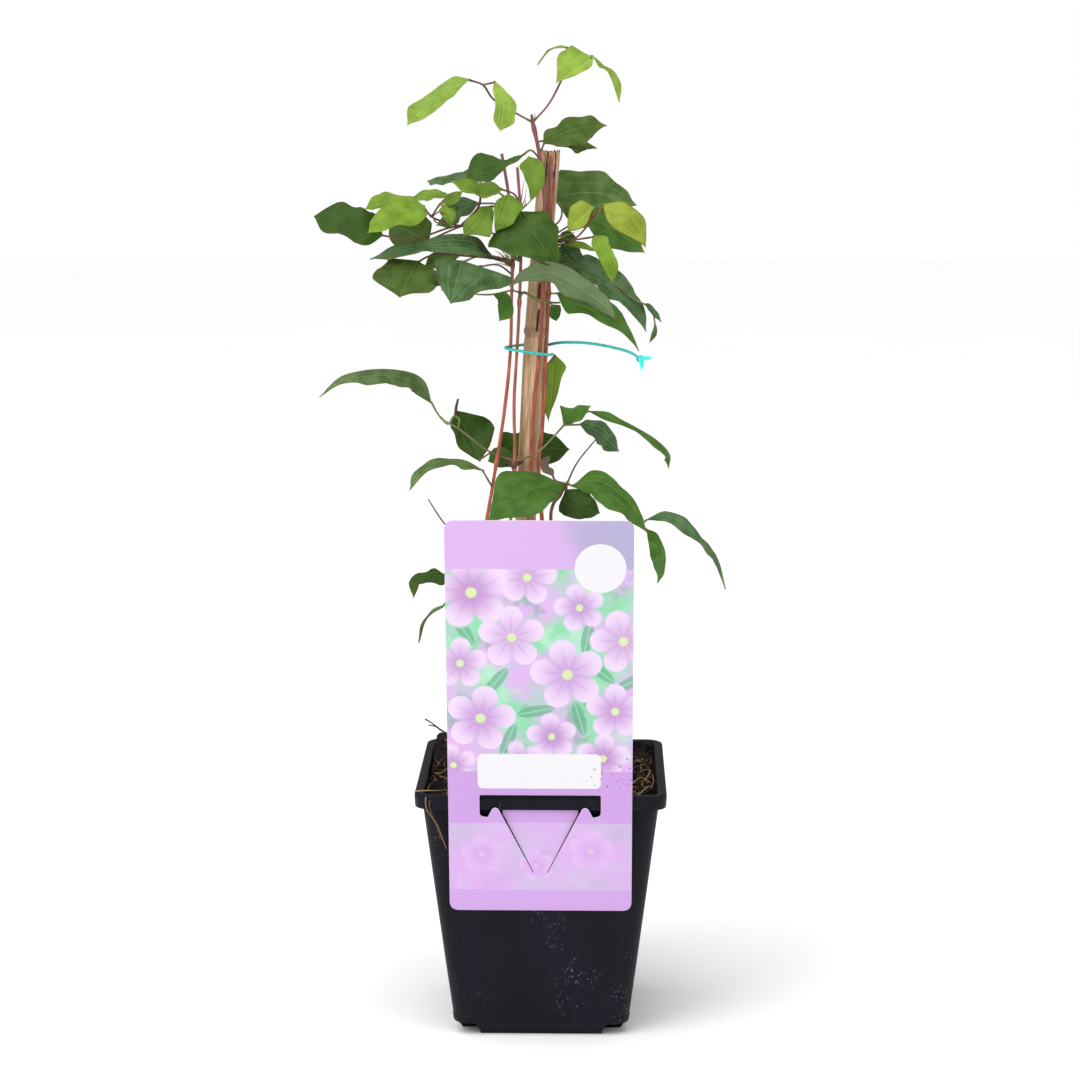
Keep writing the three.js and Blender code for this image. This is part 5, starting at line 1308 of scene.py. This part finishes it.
card_sides = [(CARD_WIDTH / 2, 0), (CARD_WIDTH / 2, CARD_HEIGHT), (-CARD_WIDTH / 2, CARD_HEIGHT),
              (-CARD_WIDTH / 2, 0)]
outer = rounded([(x, up, CARD_CORNER) for x, up in card_sides], 8)
sheet = bpy.data.curves.new("card_outline", "CURVE")
sheet.dimensions = "2D"
sheet.fill_mode = "BOTH"
sheet.extrude = CARD_THICKNESS / 2 - EDGE
sheet.bevel_depth = EDGE
sheet.bevel_resolution = 2
sheet.offset = -EDGE
for outline in (outer, rounded(slot_corners())):
    spline = sheet.splines.new("POLY")
    spline.use_cyclic_u = True
    spline.points.add(len(outline) - 1)
    for point, corner in zip(spline.points, outline):
        point.co = (corner.x, corner.y, 0, 1)
flat_card = bpy.data.objects.new("card_outline", sheet)
bpy.context.collection.objects.link(flat_card)
card_mesh = bpy.data.meshes.new_from_object(flat_card.evaluated_get(bpy.context.evaluated_depsgraph_get()))
bpy.data.objects.remove(flat_card)
shape = new_shape()
shape.from_mesh(card_mesh)
bpy.data.meshes.remove(card_mesh)
bmesh.ops.remove_doubles(shape, verts=shape.verts, dist=0.01)
printed = shape.verts.layers.float_vector.get("strand") or shape.verts.layers.float_vector.new("strand")
for vertex in shape.verts:
    flat_place = vertex.co.copy()
    vertex[printed] = (flat_place.x, flat_place.y, 1 if flat_place.z > CARD_THICKNESS / 2 - 0.02 else 0)
    vertex.co = hang(flat_place, flat_place.z)

tongue = bmesh.ops.create_grid(shape, x_segments=8, y_segments=28, size=0.5)["verts"]
for vertex in tongue:
    up = TONGUE_TOP * (vertex.co.y + 0.5)
    wide = HINGE_HALF + (TONGUE_HALF - HINGE_HALF) * min(1, up / TONGUE_SHOULDER)
    wide -= TIP_NARROWS * max(0, (up - TONGUE_TOP + TONGUE_TIP) / TONGUE_TIP) ** 2
    x = 2 * vertex.co.x * wide
    back = up * math.tan(TONGUE_LEAN) - CARD_THICKNESS / 2
    vertex[printed] = (x, TONGUE_HINGE + up, 1)
    vertex.co = hang((x, TONGUE_HINGE + up), -back)
faces = list({face for vertex in tongue for face in vertex.link_faces})
bmesh.ops.solidify(shape, geom=faces, thickness=CARD_THICKNESS * 0.9 * MM)
finished("hang_label", shape, [card_paint()], "label", 35)

# ---- The floor and the light ----
# A pale matt floor, two soft lamps at the sides and a broad one above.

FLOOR_HALF, FLOOR_DROP = 6, 0.0002
floor_mesh = bmesh.new()
bmesh.ops.create_grid(floor_mesh, x_segments=1, y_segments=1, size=FLOOR_HALF)
floor = bpy.data.objects.new("floor", bpy.data.meshes.new("floor"))
floor_mesh.to_mesh(floor.data)
floor_mesh.free()
floor.location.z = -FLOOR_DROP
bpy.context.collection.objects.link(floor)
floor_paint = Paint("pale_floor")
shade = floor_paint.noise(floor_paint.place(), 3)
colour = floor_paint.mix(shade, (0.93, 0.93, 0.93), (0.95, 0.95, 0.95))
floor_paint.surface(colour, shade * 0.1 + 0.8)
floor.data.materials.append(floor_paint.material)

LIGHTS = [
    # place, size, power
    ((-1.5, -1.5, 1.3), 1.4, 24),
    ((1.7, -1.1, 0.9), 1.4, 13),
]
ROOF_POWER, ROOF_SPREAD, ROOF_LEAN, ROOF_TURN = 2.2, 70, 18, -12
for number, (place, size, power) in enumerate(LIGHTS):
    lamp = bpy.data.lights.new(f"soft_light_{number}", "AREA")
    lamp.size = size
    lamp.energy = power
    light = bpy.data.objects.new(f"soft_light_{number}", lamp)
    light.location = place
    light.rotation_euler = (TARGET - Vector(place)).to_track_quat("-Z", "Y").to_euler()
    bpy.context.collection.objects.link(light)
lamp = bpy.data.lights.new("roof_light", "SUN")
lamp.energy = ROOF_POWER
lamp.angle = math.radians(ROOF_SPREAD)
roof = bpy.data.objects.new("roof_light", lamp)
roof.rotation_euler = (math.radians(ROOF_LEAN), math.radians(ROOF_TURN), 0)
bpy.context.collection.objects.link(roof)

# The room is white where it is seen, and dimmer as a light.
ROOM_LIGHT = 0.42
world = bpy.data.worlds.new("studio")
world.use_nodes = True
room = world.node_tree
seen = room.nodes.new("ShaderNodeLightPath")
strength = room.nodes.new("ShaderNodeMapRange")
strength.inputs["To Min"].default_value = ROOM_LIGHT
room.links.new(seen.outputs["Is Camera Ray"], strength.inputs["Value"])
room.links.new(strength.outputs[0], room.nodes["Background"].inputs["Strength"])
room.nodes["Background"].inputs["Color"].default_value = (1, 1, 1, 1)
bpy.context.scene.world = world
bpy.context.scene.view_settings.view_transform = "Standard"
